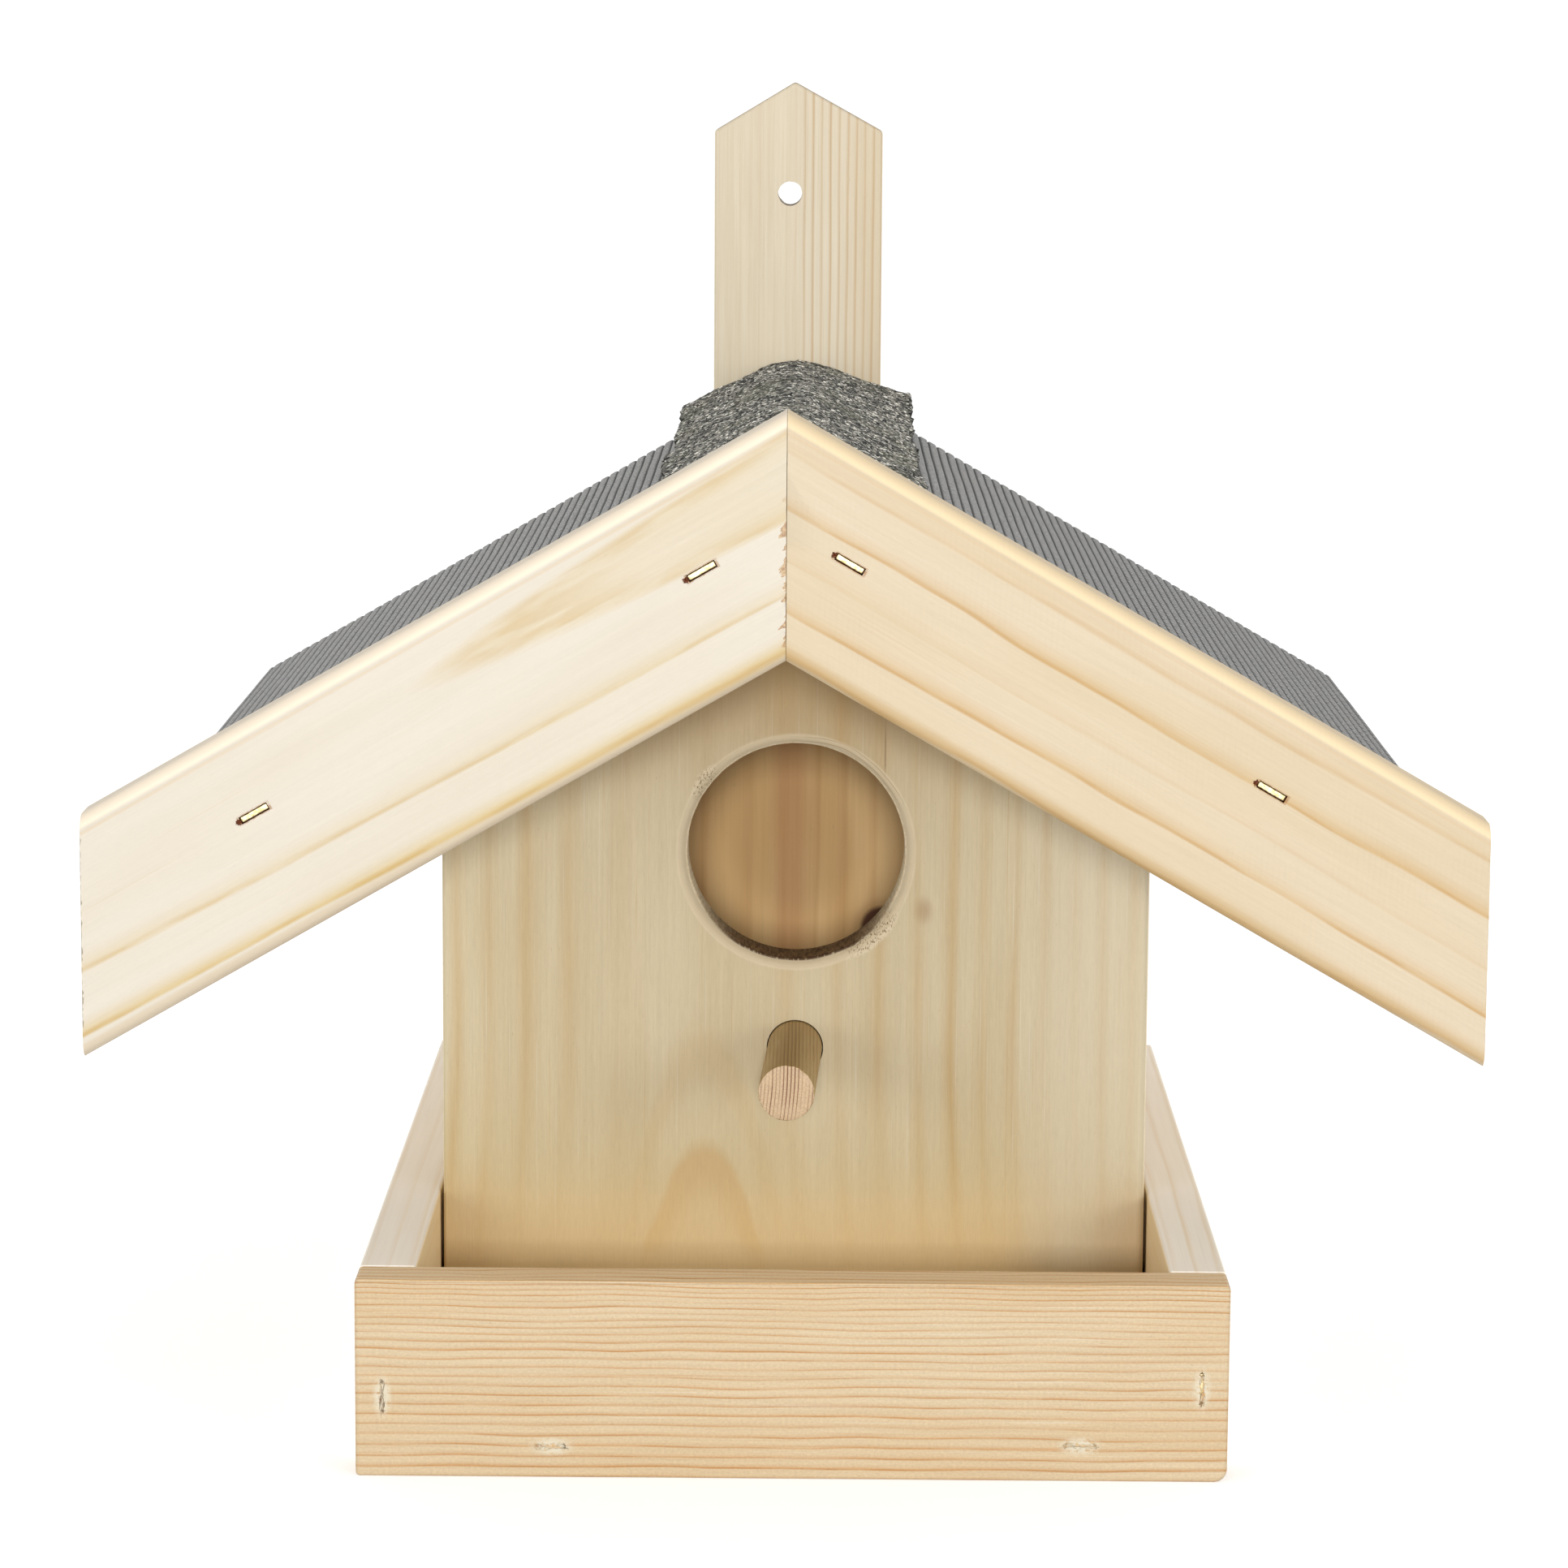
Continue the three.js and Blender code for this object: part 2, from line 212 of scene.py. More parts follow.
def copy_of(node, name):
    """A merged copy of a CAD node's mesh, with clean flat faces."""
    piece = bpy.data.objects.new(name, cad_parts[node].data.copy())
    piece.data.name = name
    piece.data.materials.clear()
    bpy.context.scene.collection.objects.link(piece)
    with editing_all(piece):
        bpy.ops.mesh.remove_doubles(threshold=1e-6)
        bpy.ops.mesh.dissolve_limited(angle_limit=math.radians(1))
    return piece


def sharpen_rims(piece, broad=100, small=3):
    """Keeps the shading of broad faces flat up to their chips. Areas in square millimetres."""
    beside = {}
    for face in piece.data.polygons:
        for key in face.edge_keys:
            beside.setdefault(key, []).append(face.area * 1e6)
    for edge in piece.data.edges:
        areas = beside.get(edge.key, [])
        if areas and max(areas) > broad and min(areas) < small:
            edge.use_edge_sharp = True


def fit(piece, slot, material, *nodes):
    """Gives a finished piece its finish and puts it in the place of its CAD nodes."""
    piece.data.materials.clear()
    piece.data.materials.append(material)
    pick(piece)
    bpy.ops.object.shade_smooth_by_angle(angle=math.radians(32))
    is_board = len(piece.data.polygons) < 20000
    if is_board:
        sharpen_rims(piece)
        even = piece.modifiers.new("even shading", "WEIGHTED_NORMAL")
        even.keep_sharp = True
        even.weight = 100
        apply_modifier(piece, even)
    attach(piece, "root")
    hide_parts(*nodes)
    return piece


def staple_seat(node, mouth):
    """A cutter for the slot of a driven staple. The mouth direction points out of the wood."""
    cutter = copy_of(node, "seat")
    out = Vector(mouth)
    past_face = 2.0
    mesh = cutter.data
    grow = [Vector((0, 0, 0)) for _ in mesh.vertices]
    for face in mesh.polygons:
        reach = SEAT_GAP if face.normal.dot(out) < 0.9 else past_face
        for i in face.vertices:
            already = grow[i].dot(face.normal)
            if already < reach / 1000:
                grow[i] += face.normal * (reach / 1000 - already)
    for vert, shift in zip(mesh.vertices, grow):
        vert.co += shift
    return cutter


def ragged_arris(piece, on_arris, cuts, chip):
    """Breaks an arris into small chips. chip(point) gives the move of each new point."""
    begin_edit(piece, "EDGE")
    points = [vert.co * 1000 for vert in piece.data.vertices]
    for edge in piece.data.edges:
        a, b = (points[i] for i in edge.vertices)
        edge.select = on_arris(a) and on_arris(b) and abs(a.z - b.z) > 5
    with editing():
        bpy.ops.mesh.subdivide(number_cuts=cuts)
    found = [vert for vert in piece.data.vertices if on_arris(vert.co * 1000)]
    low = min(vert.co.z for vert in found)
    high = max(vert.co.z for vert in found)
    for vert in sorted(found, key=lambda v: v.co.z):
        if low < vert.co.z < high:
            vert.co += Vector(chip(vert.co * 1000)) / 1000


def torn_hollow(centre, size, turn=0.0, ragged=0.25, seed=0):
    """A cutter for a small splintered hollow, turned about the Y axis."""
    bpy.ops.object.select_all(action="DESELECT")
    bpy.ops.mesh.primitive_ico_sphere_add(subdivisions=4, radius=1)
    cutter = bpy.context.object
    spin = Matrix.Rotation(turn, 4, "Y")
    for vert in cutter.data.vertices:
        shake = noise.noise(vert.co * 2.3 + Vector((seed * 7.1, 3.3, seed)))
        shake += 0.5 * noise.noise(vert.co * 6.1 + Vector((seed, 9.7, seed * 5.3)))
        place = Vector([c * s / 2 for c, s in zip(vert.co * (1 + ragged * shake), size)])
        vert.co = (spin @ place + Vector(centre)) / 1000
    cutter.name = "hollow"
    return cutter


# ---- Colour and grain ----


def paint(red, green, blue):
    """A colour from its everyday 0 to 255 values."""
    values = []
    for part in (red, green, blue):
        part /= 255
        values.append(part / 12.92 if part <= 0.04045 else ((part + 0.055) / 1.055) ** 2.4)
    return (*values, 1.0)


def seen(red, green, blue):
    """The colour that looks like this on a surface in the studio's full light."""
    return (*[part / STUDIO_GAIN for part in paint(red, green, blue)[:3]], 1.0)


def set_stops(ramp, stops):
    """Fills a new colour ramp, which has two stops to begin with."""
    for i, (at, colour) in enumerate(stops):
        stop = ramp.elements[i] if i < 2 else ramp.elements.new(at)
        stop.position = at
        stop.color = colour


class Recipe:
    """The nodes of one material. Each method adds a step and gives back its result."""

    def __init__(self, name):
        self.material = bpy.data.materials.new(name)
        self.material.use_nodes = True
        self.tree = self.material.node_tree
        self.tree.nodes.clear()
        self.coords = self.tree.nodes.new("ShaderNodeTexCoord").outputs
        self.normal = self.coords["Normal"]

    def plug(self, socket, value):
        if isinstance(value, bpy.types.NodeSocket):
            self.tree.links.new(value, socket)
        else:
            socket.default_value = value

    def add(self, kind, inputs=None, **settings):
        node = self.tree.nodes.new("ShaderNode" + kind)
        for key, value in settings.items():
            setattr(node, key, value)
        for key, value in (inputs or {}).items():
            self.plug(node.inputs[key], value)
        return node

    def calc(self, operation, *values):
        node = self.add("Math", operation=operation)
        for socket, value in zip(node.inputs, values):
            self.plug(socket, value)
        return node.outputs[0]

    def times(self, *values):
        """The product of masks and numbers."""
        product = values[0]
        for value in values[1:]:
            product = self.calc("MULTIPLY", product, value)
        return product

    def axes(self, vector):
        return self.add("SeparateXYZ", {0: vector}).outputs

    def vector(self, operation, *values):
        node = self.add("VectorMath", operation=operation)
        for socket, value in zip(node.inputs, values):
            self.plug(socket, value)
        return node.outputs[1 if operation == "LENGTH" else 0]

    def span(self, value, low, high, to_low=0.0, to_high=1.0, smooth=True):
        """Moves a value from one range to another and holds it there."""
        kind = "SMOOTHSTEP" if smooth else "LINEAR"
        inputs = {0: value, 1: low, 2: high, 3: to_low, 4: to_high}
        return self.add("MapRange", inputs, interpolation_type=kind).outputs[0]

    def blend(self, factor, first, second):
        return self.add("Mix", {0: factor, 6: first, 7: second}, data_type="RGBA").outputs[2]

    def shaded(self, colour, value):
        return self.add("HueSaturation", {"Color": colour, "Value": value}).outputs[0]

    def placed(self, origin, turn=(0, 0, 0)):
        """Object coordinates in millimetres from an origin, turned to a frame of their own."""
        moved = self.vector("SUBTRACT", self.coords["Object"], mm(*origin))
        inputs = {"Vector": moved, "Rotation": turn, "Scale": (1000, 1000, 1000)}
        return self.add("Mapping", inputs).outputs[0]

    def noise(self, place, size, seed=0.0, detail=2.0, rough=0.5):
        """Noise from 0 to 1 with features of about `size` millimetres along each axis."""
        inputs = {"Vector": place, "Location": (seed * 3.7, seed * 1.9, seed * 2.3),
                  "Scale": [1 / s for s in size]}
        spread = self.add("Mapping", inputs).outputs[0]
        inputs = {"Vector": spread, "Scale": 1.0, "Detail": detail, "Roughness": rough}
        return self.add("TexNoise", inputs).outputs[0]

    def near(self, place, centre, size, inner=0.6, outer=1.0):
        """1 inside an egg-shaped zone round a centre, falling to 0 at its edge."""
        offset = self.vector("SUBTRACT", place, centre)
        scaled = self.vector("DIVIDE", offset, [s / 2 for s in size])
        return self.span(self.vector("LENGTH", scaled), inner, outer, 1.0, 0.0)

    def beside(self, value, centre, width, inner=0.6, outer=1.0):
        """1 where a value is close to a centre, falling to 0 at half the width from it."""
        apart = self.calc("ABSOLUTE", self.calc("SUBTRACT", value, centre))
        return self.span(apart, inner * width / 2, outer * width / 2, 1.0, 0.0)

    def any_of(self, masks):
        total = masks[0]
        for mask in masks[1:]:
            total = self.calc("MAXIMUM", total, mask)
        return total

    def finish(self, colour, roughness, height=None, relief=0.05, metallic=0.0, specular=0.35,
               glow=0.0):
        """Joins the steps into the surface. The relief is the height's depth in millimetres."""
        shader = self.add("BsdfPrincipled")
        self.plug(shader.inputs["Base Color"], colour)
        self.plug(shader.inputs["Roughness"], roughness)
        shader.inputs["Metallic"].default_value = metallic
        shader.inputs["Specular IOR Level"].default_value = specular
        if glow:
            shader.inputs["Emission Color"].default_value = (1, 1, 1, 1)
            shader.inputs["Emission Strength"].default_value = glow
        if height is not None:
            bump = self.add("Bump", {"Height": height, "Distance": relief / 1000, "Strength": 1.0})
            self.plug(shader.inputs["Normal"], bump.outputs[0])
        self.add("OutputMaterial", {"Surface": shader.outputs[0]})
        return self.material


class Grain:
    """Softwood figure: rings round a pith line that runs along the frame's Z axis.

    The frame's X axis runs across the show face and its Y axis goes into the board. A ring is a
    line of late wood that rises slowly and ends sharply. The results are colour, height and
    roughness, which a wood can change before it is finished.

    pith: the pith's x and its distance behind the face. first: the distance of the first ring.
    lean, bow, crowd: how the rings tilt, bend and close up. strengths or fade: how bold they are.
    late_from, sharp: where a ring's line starts and how short its end is. waver, along: how the
    lines drift and come and go. streak, hair, fleck, edge: fine streaks, threads, specks, rims.
    """

    def __init__(self, recipe, origin, turn, pith, first, spacing, base, second, late,
                 lean=0.0, bow=None, crowd=0.0, strengths=None, fade=(0.35, 1.0),
                 late_from=0.7, waver=(0.5, 40.0), streak=0.05, seed=0.0, along=(0.55, 1.0),
                 hair=0.25, fleck=0.5, sharp=0.04, edge=0.0):
        self.recipe = r = recipe
        self.place = place = r.placed(origin, turn)
        parts = r.axes(place)
        self.across, self.depth, self.length = parts
        size, reach = waver
        drift = r.noise(place, (9, 9, reach), seed + 1, 1.5)
        drift = r.calc("MULTIPLY_ADD", drift, 2 * size, -size)
        across = r.calc("ADD", r.calc("SUBTRACT", parts[0], pith[0]), drift)
        deep = r.calc("SUBTRACT", pith[1], parts[1])
        deep = r.calc("MULTIPLY_ADD", parts[2], lean, deep)
        if bow:
            start, amount = bow
            below = r.calc("MAXIMUM", r.calc("SUBTRACT", start, parts[2]), 0.0)
            deep = r.calc("MULTIPLY_ADD", r.calc("POWER", below, 2.0), -amount, deep)
        away = r.vector("LENGTH", r.add("CombineXYZ", {0: across, 1: deep}).outputs[0])
        away = r.calc("SUBTRACT", away, first)
        ring = r.calc("DIVIDE", away, spacing)
        if crowd:
            thinning = r.calc("EXPONENT", r.calc("DIVIDE", away, -8.0))
            ring = r.calc("MULTIPLY_ADD", thinning, -crowd, ring)
        part = r.calc("FRACT", ring)
        count = r.calc("FLOOR", ring)
        rise = r.calc("POWER", r.span(part, late_from, 1 - sharp, smooth=False), 1.5)
        line = r.times(rise, r.span(part, 1 - sharp, 1.0, 1.0, 0.0, smooth=False))
        if strengths:
            stops = r.add("ValToRGB")
            r.plug(stops.inputs[0], r.calc("DIVIDE", r.calc("ADD", count, 0.5), len(strengths)))
            ramp = stops.color_ramp
            ramp.interpolation = "CONSTANT"
            set_stops(ramp, [(i / len(strengths), (value, value, value, 1))
                             for i, value in enumerate(strengths)])
            strength = stops.outputs[0]
        else:
            roll = r.add("TexWhiteNoise", {"W": r.calc("ADD", count, seed)}, noise_dimensions="1D")
            strength = r.span(roll.outputs[0], 0.0, 1.0, *fade, smooth=False)
        waxing = r.span(r.noise(place, (7, 7, 60), seed + 2), 0.3, 0.65, *along)
        self.line = r.times(line, strength, waxing)

        patches = r.span(r.noise(place, (14, 14, 70), seed + 3, 2.0), 0.35, 0.65)
        colour = r.blend(patches, base, second)
        colour = r.blend(self.line, colour, late)
        if edge:
            brink = r.times(r.span(part, 0.9 - sharp, 1 - sharp), r.span(part, 1.0, 1 - sharp))
            breaks = r.span(r.noise(place, (2, 2, 14), seed + 8, 2.0), 0.35, 0.6)
            deep_late = [late[0] * 0.88, late[1] * 0.8, late[2] * 0.66, 1.0]
            colour = r.blend(r.times(brink, strength, breaks, edge), colour, deep_late)
        self.fibre = fibre = r.noise(place, (0.45, 0.45, 26), seed + 4, 3.0, 0.65)
        colour = r.shaded(colour, r.span(fibre, 0.25, 0.75, 1 - streak, 1 + streak, False))
        if hair:
            thread = r.noise(place, (0.32, 0.32, 45), seed + 5, 1.0)
            colour = r.blend(r.span(thread, 0.68, 0.8, 0.0, hair), colour, late)
            colour = r.blend(r.span(thread, 0.32, 0.2, 0.0, hair), colour, seen(252, 246, 232))
        if fleck:
            spot = r.noise(place, (0.22, 0.22, 1.6), seed + 6, 1.0)
            dark = [c * 0.55 for c in late[:3]] + [1.0]
            colour = r.blend(r.span(spot, 0.74, 0.84, 0.0, fleck), colour, dark)

        facing = r.add("Mapping", {"Vector": r.normal, "Rotation": turn},
                       vector_type="VECTOR").outputs[0]
        endwise = r.calc("ABSOLUTE", r.axes(facing)[2])
        self.end = r.span(endwise, 0.75, 0.95)
        pores = r.noise(place, (0.35, 0.35, 0.35), seed + 7, 2.0)
        rough_end = r.shaded(r.blend(0.35, colour, late), r.span(pores, 0.3, 0.7, 0.72, 1.02))
        self.colour = r.blend(self.end, colour, rough_end)
        ridges = r.calc("MULTIPLY_ADD", self.line, 0.35, r.times(fibre, 0.65))
        self.height = r.blend(self.end, ridges, pores)
        self.roughness = r.span(fibre, 0.3, 0.7, 0.66, 0.54)

    def roughen(self, size, spread, seed=0.0):
        """Light and dark specks of a sawn or brushed face."""
        specks = self.recipe.noise(self.place, size, seed + 40, 3.0, 0.8)
        value = self.recipe.span(specks, 0.3, 0.7, 1 - spread, 1 + spread, False)
        self.colour = self.recipe.shaded(self.colour, value)

    def tint(self, mask, colour, strength=1.0):
        """Paints a colour over the masked wood."""
        if strength != 1.0:
            mask = self.recipe.times(mask, strength)
        self.colour = self.recipe.blend(mask, self.colour, colour)

    def raise_by(self, mask, height):
        self.height = self.recipe.blend(mask, self.height, height)

    def paint_light_on_sides(self, amount, beyond=0.0):
        """Painted light: the sides and the back of a board are painted paler than its front, where the
        front lamps give them less light.
        """
        r = self.recipe
        aside, behind, _ = r.axes(r.normal)
        aside = r.span(r.calc("ABSOLUTE", aside), 0.8, 0.97)
        if beyond:
            out = r.calc("ABSOLUTE", self.across)
            aside = r.times(aside, r.span(out, beyond, beyond + 1))
        mask = r.any_of([aside, r.span(behind, 0.6, 0.9)])
        self.tint(mask, r.shaded(self.colour, amount))

    def finish(self, relief=0.05):
        return self.recipe.finish(self.colour, self.roughness, self.height, relief)


# How a board's grain frame is turned.
UPRIGHT = (0, 0, 0)
SIDEWAYS = (0, math.pi / 2, 0)
BACKWARDS = (math.pi / 2, 0, 0)


def bruises(recipe, staples, along, over):
    """A mask of the wood round each staple's crown. The crowns lie flat or stand up."""
    place = recipe.placed((0, 0, 0))
    zones = []
    for node in staples:
        low, high = box_mm(node)
        lies = high.x - low.x > high.z - low.z
        size = (along, 6.0, over) if lies else (over, 6.0, along)
        zones.append(recipe.near(place, crown(node), size, 0.3, 1.0))
    return recipe.any_of(zones)


def tilted_seats(recipe, staples, turn):
    """Masks of the thin rim and the whole seat of each gable staple, which follows the slope."""
    half_length, half_width = 2.95, 0.7
    rims = []
    seats = []
    for node in staples:
        place = recipe.placed(crown(node), (0, -turn, 0))
        x, _, z = recipe.axes(place)
        past_end = recipe.calc("SUBTRACT", recipe.calc("ABSOLUTE", x), half_length)
        past_side = recipe.calc("SUBTRACT", recipe.calc("ABSOLUTE", z), half_width)
        rims.append(recipe.span(recipe.calc("MAXIMUM", past_end, past_side), 0.2, 0.02))
        seats.append(recipe.near(place, (0, 0, 0), (8.4, 8.0, 3.0), 0.8, 1.0))
    return recipe.any_of(rims), recipe.any_of(seats)


def paint_gable_seats(recipe, grain, side):
    """Worn rims, and dark red-brown painted shade in the seats and pits where the two staples are
    driven in.
    """
    staples = [f"gable_staple_{HAND[side]}_{end}" for end in ("upper", "lower")]
    rims, seats = tilted_seats(recipe, staples, side * PITCH)
    wear = recipe.noise(grain.place, (0.5, 0.5, 0.8), 7, 2.0)
    worn = recipe.times(rims, recipe.span(wear, 0.35, 0.55, 0.2, 0.7))
    grain.tint(worn, seen(176, 124, 66))
    # Painted shade: dark red-brown on the recessed faces of the seats and pits.
    shade_in_hollow = recipe.span(grain.depth, 0.06, 0.35)
    grain.tint(recipe.times(seats, shade_in_hollow), seen(132, 66, 26))


def paint_mitre_chips(recipe, grain):
    """Fibres torn out along the left board's mitre, from a little way down to its foot. Their tan and
    brown is the torn wood's colour with painted shade in the chips.
    """
    x, _, z = recipe.axes(recipe.placed((GABLE_MITRE_X, FRONT_Y, 0)))
    slanted = recipe.add("CombineXYZ", {0: recipe.calc("MULTIPLY_ADD", x, -0.8, z)}).outputs[0]
    torn = recipe.noise(slanted, (1.9, 9, 9), 31, 3.0, 0.7)
    width = recipe.span(torn, 0.47, 0.68, 0.12, 1.35, False)
    foot = GABLE_TOP_Z - GABLE_WIDTH / math.cos(PITCH) + 2.5
    chips = recipe.times(
        recipe.span(recipe.calc("ADD", x, width), 0.0, 0.12),
        recipe.span(z, 175.0, 170.0),
        recipe.span(z, foot, foot + 0.5),
        recipe.span(x, 0.2, 0.0))
    crumb = recipe.noise(recipe.placed((0, 0, 0)), (0.5, 0.5, 0.5), 32, 2.0)
    # The torn wood's colour, with painted shade in the chips.
    chipped = recipe.blend(
        recipe.span(crumb, 0.35, 0.65), seen(172, 122, 70), seen(222, 186, 134))
    grain.tint(chips, chipped, 0.8)
    grain.raise_by(chips, crumb)


def paint_planer_marks(recipe, grain, below):
    """Faint slanting marks of a planer, in patches."""
    slant = recipe.calc("MULTIPLY_ADD", grain.length, 1.0, recipe.times(below, 0.5))
    hatch = recipe.calc("SINE", recipe.times(slant, 2 * math.pi / 1.1))
    patches = recipe.span(recipe.noise(grain.place, (12, 12, 18), 9), 0.45, 0.62)
    marks = recipe.times(recipe.span(hatch, 0.2, 1.0), patches)
    grain.colour = recipe.shaded(grain.colour, recipe.span(marks, 0.0, 1.0, 1.0, 0.985, False))


def gable_wood(side):
    """Planed pale boards with broad, soft growth rings that run along the slope."""
    left = side < 0
    recipe = Recipe(f"gable_wood_{HAND[side]}")
    origin = (GABLE_MITRE_X, FRONT_Y, RIDGE_Z)
    turn = (0, math.pi / 2 - side * PITCH, 0)
    if left:
        grain = Grain(
            recipe, origin, turn, pith=(GABLE_PROUD - 9.0, 15.0), first=16.55, spacing=6.5,
            base=seen(241, 231, 214), second=seen(237, 226, 206), late=seen(226, 197, 132),
            lean=0.021, strengths=[0.55, 0.95, 0.8, 0.5, 0.5], late_from=0.6, waver=(0.9, 70),
            streak=0.02, seed=1, along=(0.6, 1.0), hair=0.14, fleck=0.12, sharp=0.06, edge=0.7)
    else:
        grain = Grain(
            recipe, origin, turn, pith=(GABLE_PROUD + 10.0, 15.0), first=15.6, spacing=6.3,
            base=seen(231, 211, 177), second=seen(235, 216, 186), late=seen(218, 178, 114),
            strengths=[0.3, 0.75, 0.15, 0.8, 0.8, 0.6], late_from=0.55, waver=(1.2, 34),
            streak=0.025, seed=5, along=(0.65, 1.0), hair=0.15, fleck=0.25, sharp=0.06, edge=0.7)
    grain.roughen((0.4, 0.4, 1.6), 0.018)
    paint_gable_seats(recipe, grain, side)
    below = recipe.calc("SUBTRACT", GABLE_PROUD, grain.across)
    # Painted shade: the lower rounding, which faces down, is painted darker and tanner.
    lower_round = recipe.span(below, GABLE_WIDTH - 2.6, GABLE_WIDTH - 1.6)
    grain.tint(lower_round, seen(226, 194, 142), 0.35)
    if left:
        paint_mitre_chips(recipe, grain)
    # Painted light: the upper rounding is painted paler than the face below it.
    upper_round = recipe.span(below, 2.3, 1.6)
    grain.tint(upper_round, paint(208, 195, 175) if left else paint(202, 182, 148), 0.9)
    grain.tint(recipe.beside(below, 2.7, 0.9, 0.2), seen(232, 196, 146), 0.3)
    if not left:
        paint_planer_marks(recipe, grain, below)
    # Painted light on the sides and back.
    grain.paint_light_on_sides(1.5)
    return grain.finish(0.03)


def panel_wood():
    """Upright grain with a pointed figure low on the board, worn fibres round the entrance."""
    recipe = Recipe("panel_wood")
    grain = Grain(
        recipe, (0, PANEL_Y, 0), UPRIGHT, pith=(-17.0, 37.5), first=27.6, spacing=4.7,
        base=seen(227, 209, 169), second=seen(234, 218, 181), late=seen(211, 173, 107),
        bow=(66.0, 0.0012),
        strengths=[0.0, 0.0, 0.3, 0.5, 0.45, 0.5, 0.7, 0.4, 0.55, 0.7, 0.4, 0.7, 0.55, 0.5],
        late_from=0.3, waver=(1.0, 55), streak=0.045, seed=11, along=(0.35, 1.0), hair=0.4,
        fleck=0.35, sharp=0.3)
    paint_pointed_figure(recipe, grain)
    paint_panel_light_and_shade(recipe, grain)
    grain.roughen((0.35, 0.35, 3.5), 0.045)
    place = recipe.placed((0, PANEL_Y, ENTRANCE_HEIGHT))
    x, _, z = recipe.axes(place)
    away = recipe.vector("LENGTH", recipe.add("CombineXYZ", {0: x, 1: z}).outputs[0])
    paint_flare(recipe, grain, place, away)
    paint_bore(recipe, grain, place, away)
    knot = recipe.near(recipe.placed((23.5, PANEL_Y, 88.5)), (0, 0, 0), (5.0, 12, 7.0), 0.1, 1.0)
    grain.tint(knot, seen(178, 140, 92), 0.5)
    # Painted light on the sides and back.
    grain.paint_light_on_sides(1.6, beyond=60.0)
    return grain.finish(0.06)


def paint_pointed_figure(recipe, grain):
    """A pointed arch of late wood low on the left, with a fainter one over it."""
    wobble = recipe.noise(grain.place, (5, 9, 9), 15, 2.0)
    middle = recipe.calc("MULTIPLY_ADD", wobble, 3.0, -18.2)
    aside = recipe.calc("SUBTRACT", grain.across, middle)
    climb = recipe.calc("MULTIPLY_ADD", recipe.calc("POWER", aside, 2.0), 0.165, grain.length)
    close = recipe.span(recipe.calc("ABSOLUTE", aside), 16.0, 13.0)
    inner = recipe.times(recipe.span(climb, 28.0, 39.5), recipe.span(climb, 46.5, 42.0), close)
    outer = recipe.times(recipe.span(climb, 52.0, 60.0), recipe.span(climb, 70.0, 62.0), close)
    grain.tint(inner, seen(214, 168, 98), 0.62)
    grain.tint(outer, seen(220, 184, 124), 0.25)


def paint_panel_light_and_shade(recipe, grain):
    """Painted light and shade on the board: warm painted bounce light low down, brown painted shade at
    the top, pale painted light at the right and brown painted shade in the lower corners.
    """
    up = grain.length
    # Painted bounce light: warmer and brighter toward the bottom.
    grain.tint(recipe.span(up, 66.0, 28.0), seen(238, 211, 150), 0.4)
    grain.tint(recipe.span(up, 44.0, 20.0), paint(206, 174, 120), 0.55)
    grain.tint(recipe.span(up, 26.0, 18.0), paint(236, 210, 158), 0.8)
    # Painted shade under the roof: browner toward the top.
    grain.tint(recipe.span(up, 106.0, 134.0), seen(190, 150, 82), 0.62)
    # Painted light: paler toward the right.
    grain.tint(recipe.span(grain.across, 36.0, 52.0), seen(242, 230, 202), 0.5)
    # Painted shade: warm brown in the two lower corners.
    edges = recipe.span(recipe.calc("ABSOLUTE", grain.across), 50.0, 63.0)
    grain.tint(recipe.times(edges, recipe.span(up, 44.0, 24.0)), seen(206, 160, 96), 0.4)
    breaks = recipe.span(recipe.noise(grain.place, (0.5, 1, 3), 16), 0.4, 0.6, 0.4, 1.0)
    split = recipe.near(grain.place, (16.2, 0, 117.0), (0.5, 4, 20), 0.2, 1.0)
    grain.tint(recipe.times(split, breaks), seen(136, 100, 58), 0.5)


def paint_flare(recipe, grain, place, away):
    """The pale, worn rim of the entrance, frayed at two places, with a few lathe marks."""
    torn = recipe.noise(place, (0.28, 0.6, 0.5), 3, 3.0, 0.75)
    lips = recipe.any_of([recipe.near(place, (14.5, 0, -15.5), (15.0, 9, 15.0), 0.4, 1.0),
                          recipe.near(place, (-17.0, 0, 13.0), (7.0, 9, 12.0), 0.3, 1.0)])
    reach = recipe.calc("MULTIPLY_ADD", lips, recipe.times(torn, -1.6), away)
    flare = recipe.span(reach, ENTRANCE_RADIUS + 2.3, ENTRANCE_RADIUS + 1.5)
    grain.tint(flare, seen(250, 232, 198), 0.85)
    frayed = recipe.times(flare, lips)
    grain.tint(recipe.times(frayed, recipe.span(torn, 0.5, 0.36)), seen(138, 112, 70))
    grain.tint(recipe.times(frayed, recipe.span(torn, 0.55, 0.68)), seen(240, 226, 192))
    grain.raise_by(flare, torn)
    swirl = recipe.calc("MULTIPLY_ADD", recipe.noise(place, (16, 9, 16), 6), 1.6, away)
    lathe = recipe.span(recipe.calc("SINE", recipe.times(swirl, 7.4)), 0.75, 1.0)
    upper_right = recipe.near(place, (12, 0, 17), (32, 9, 26), 0.5, 1.0)
    grain.tint(recipe.times(lathe, flare, upper_right), seen(168, 138, 96), 0.5)


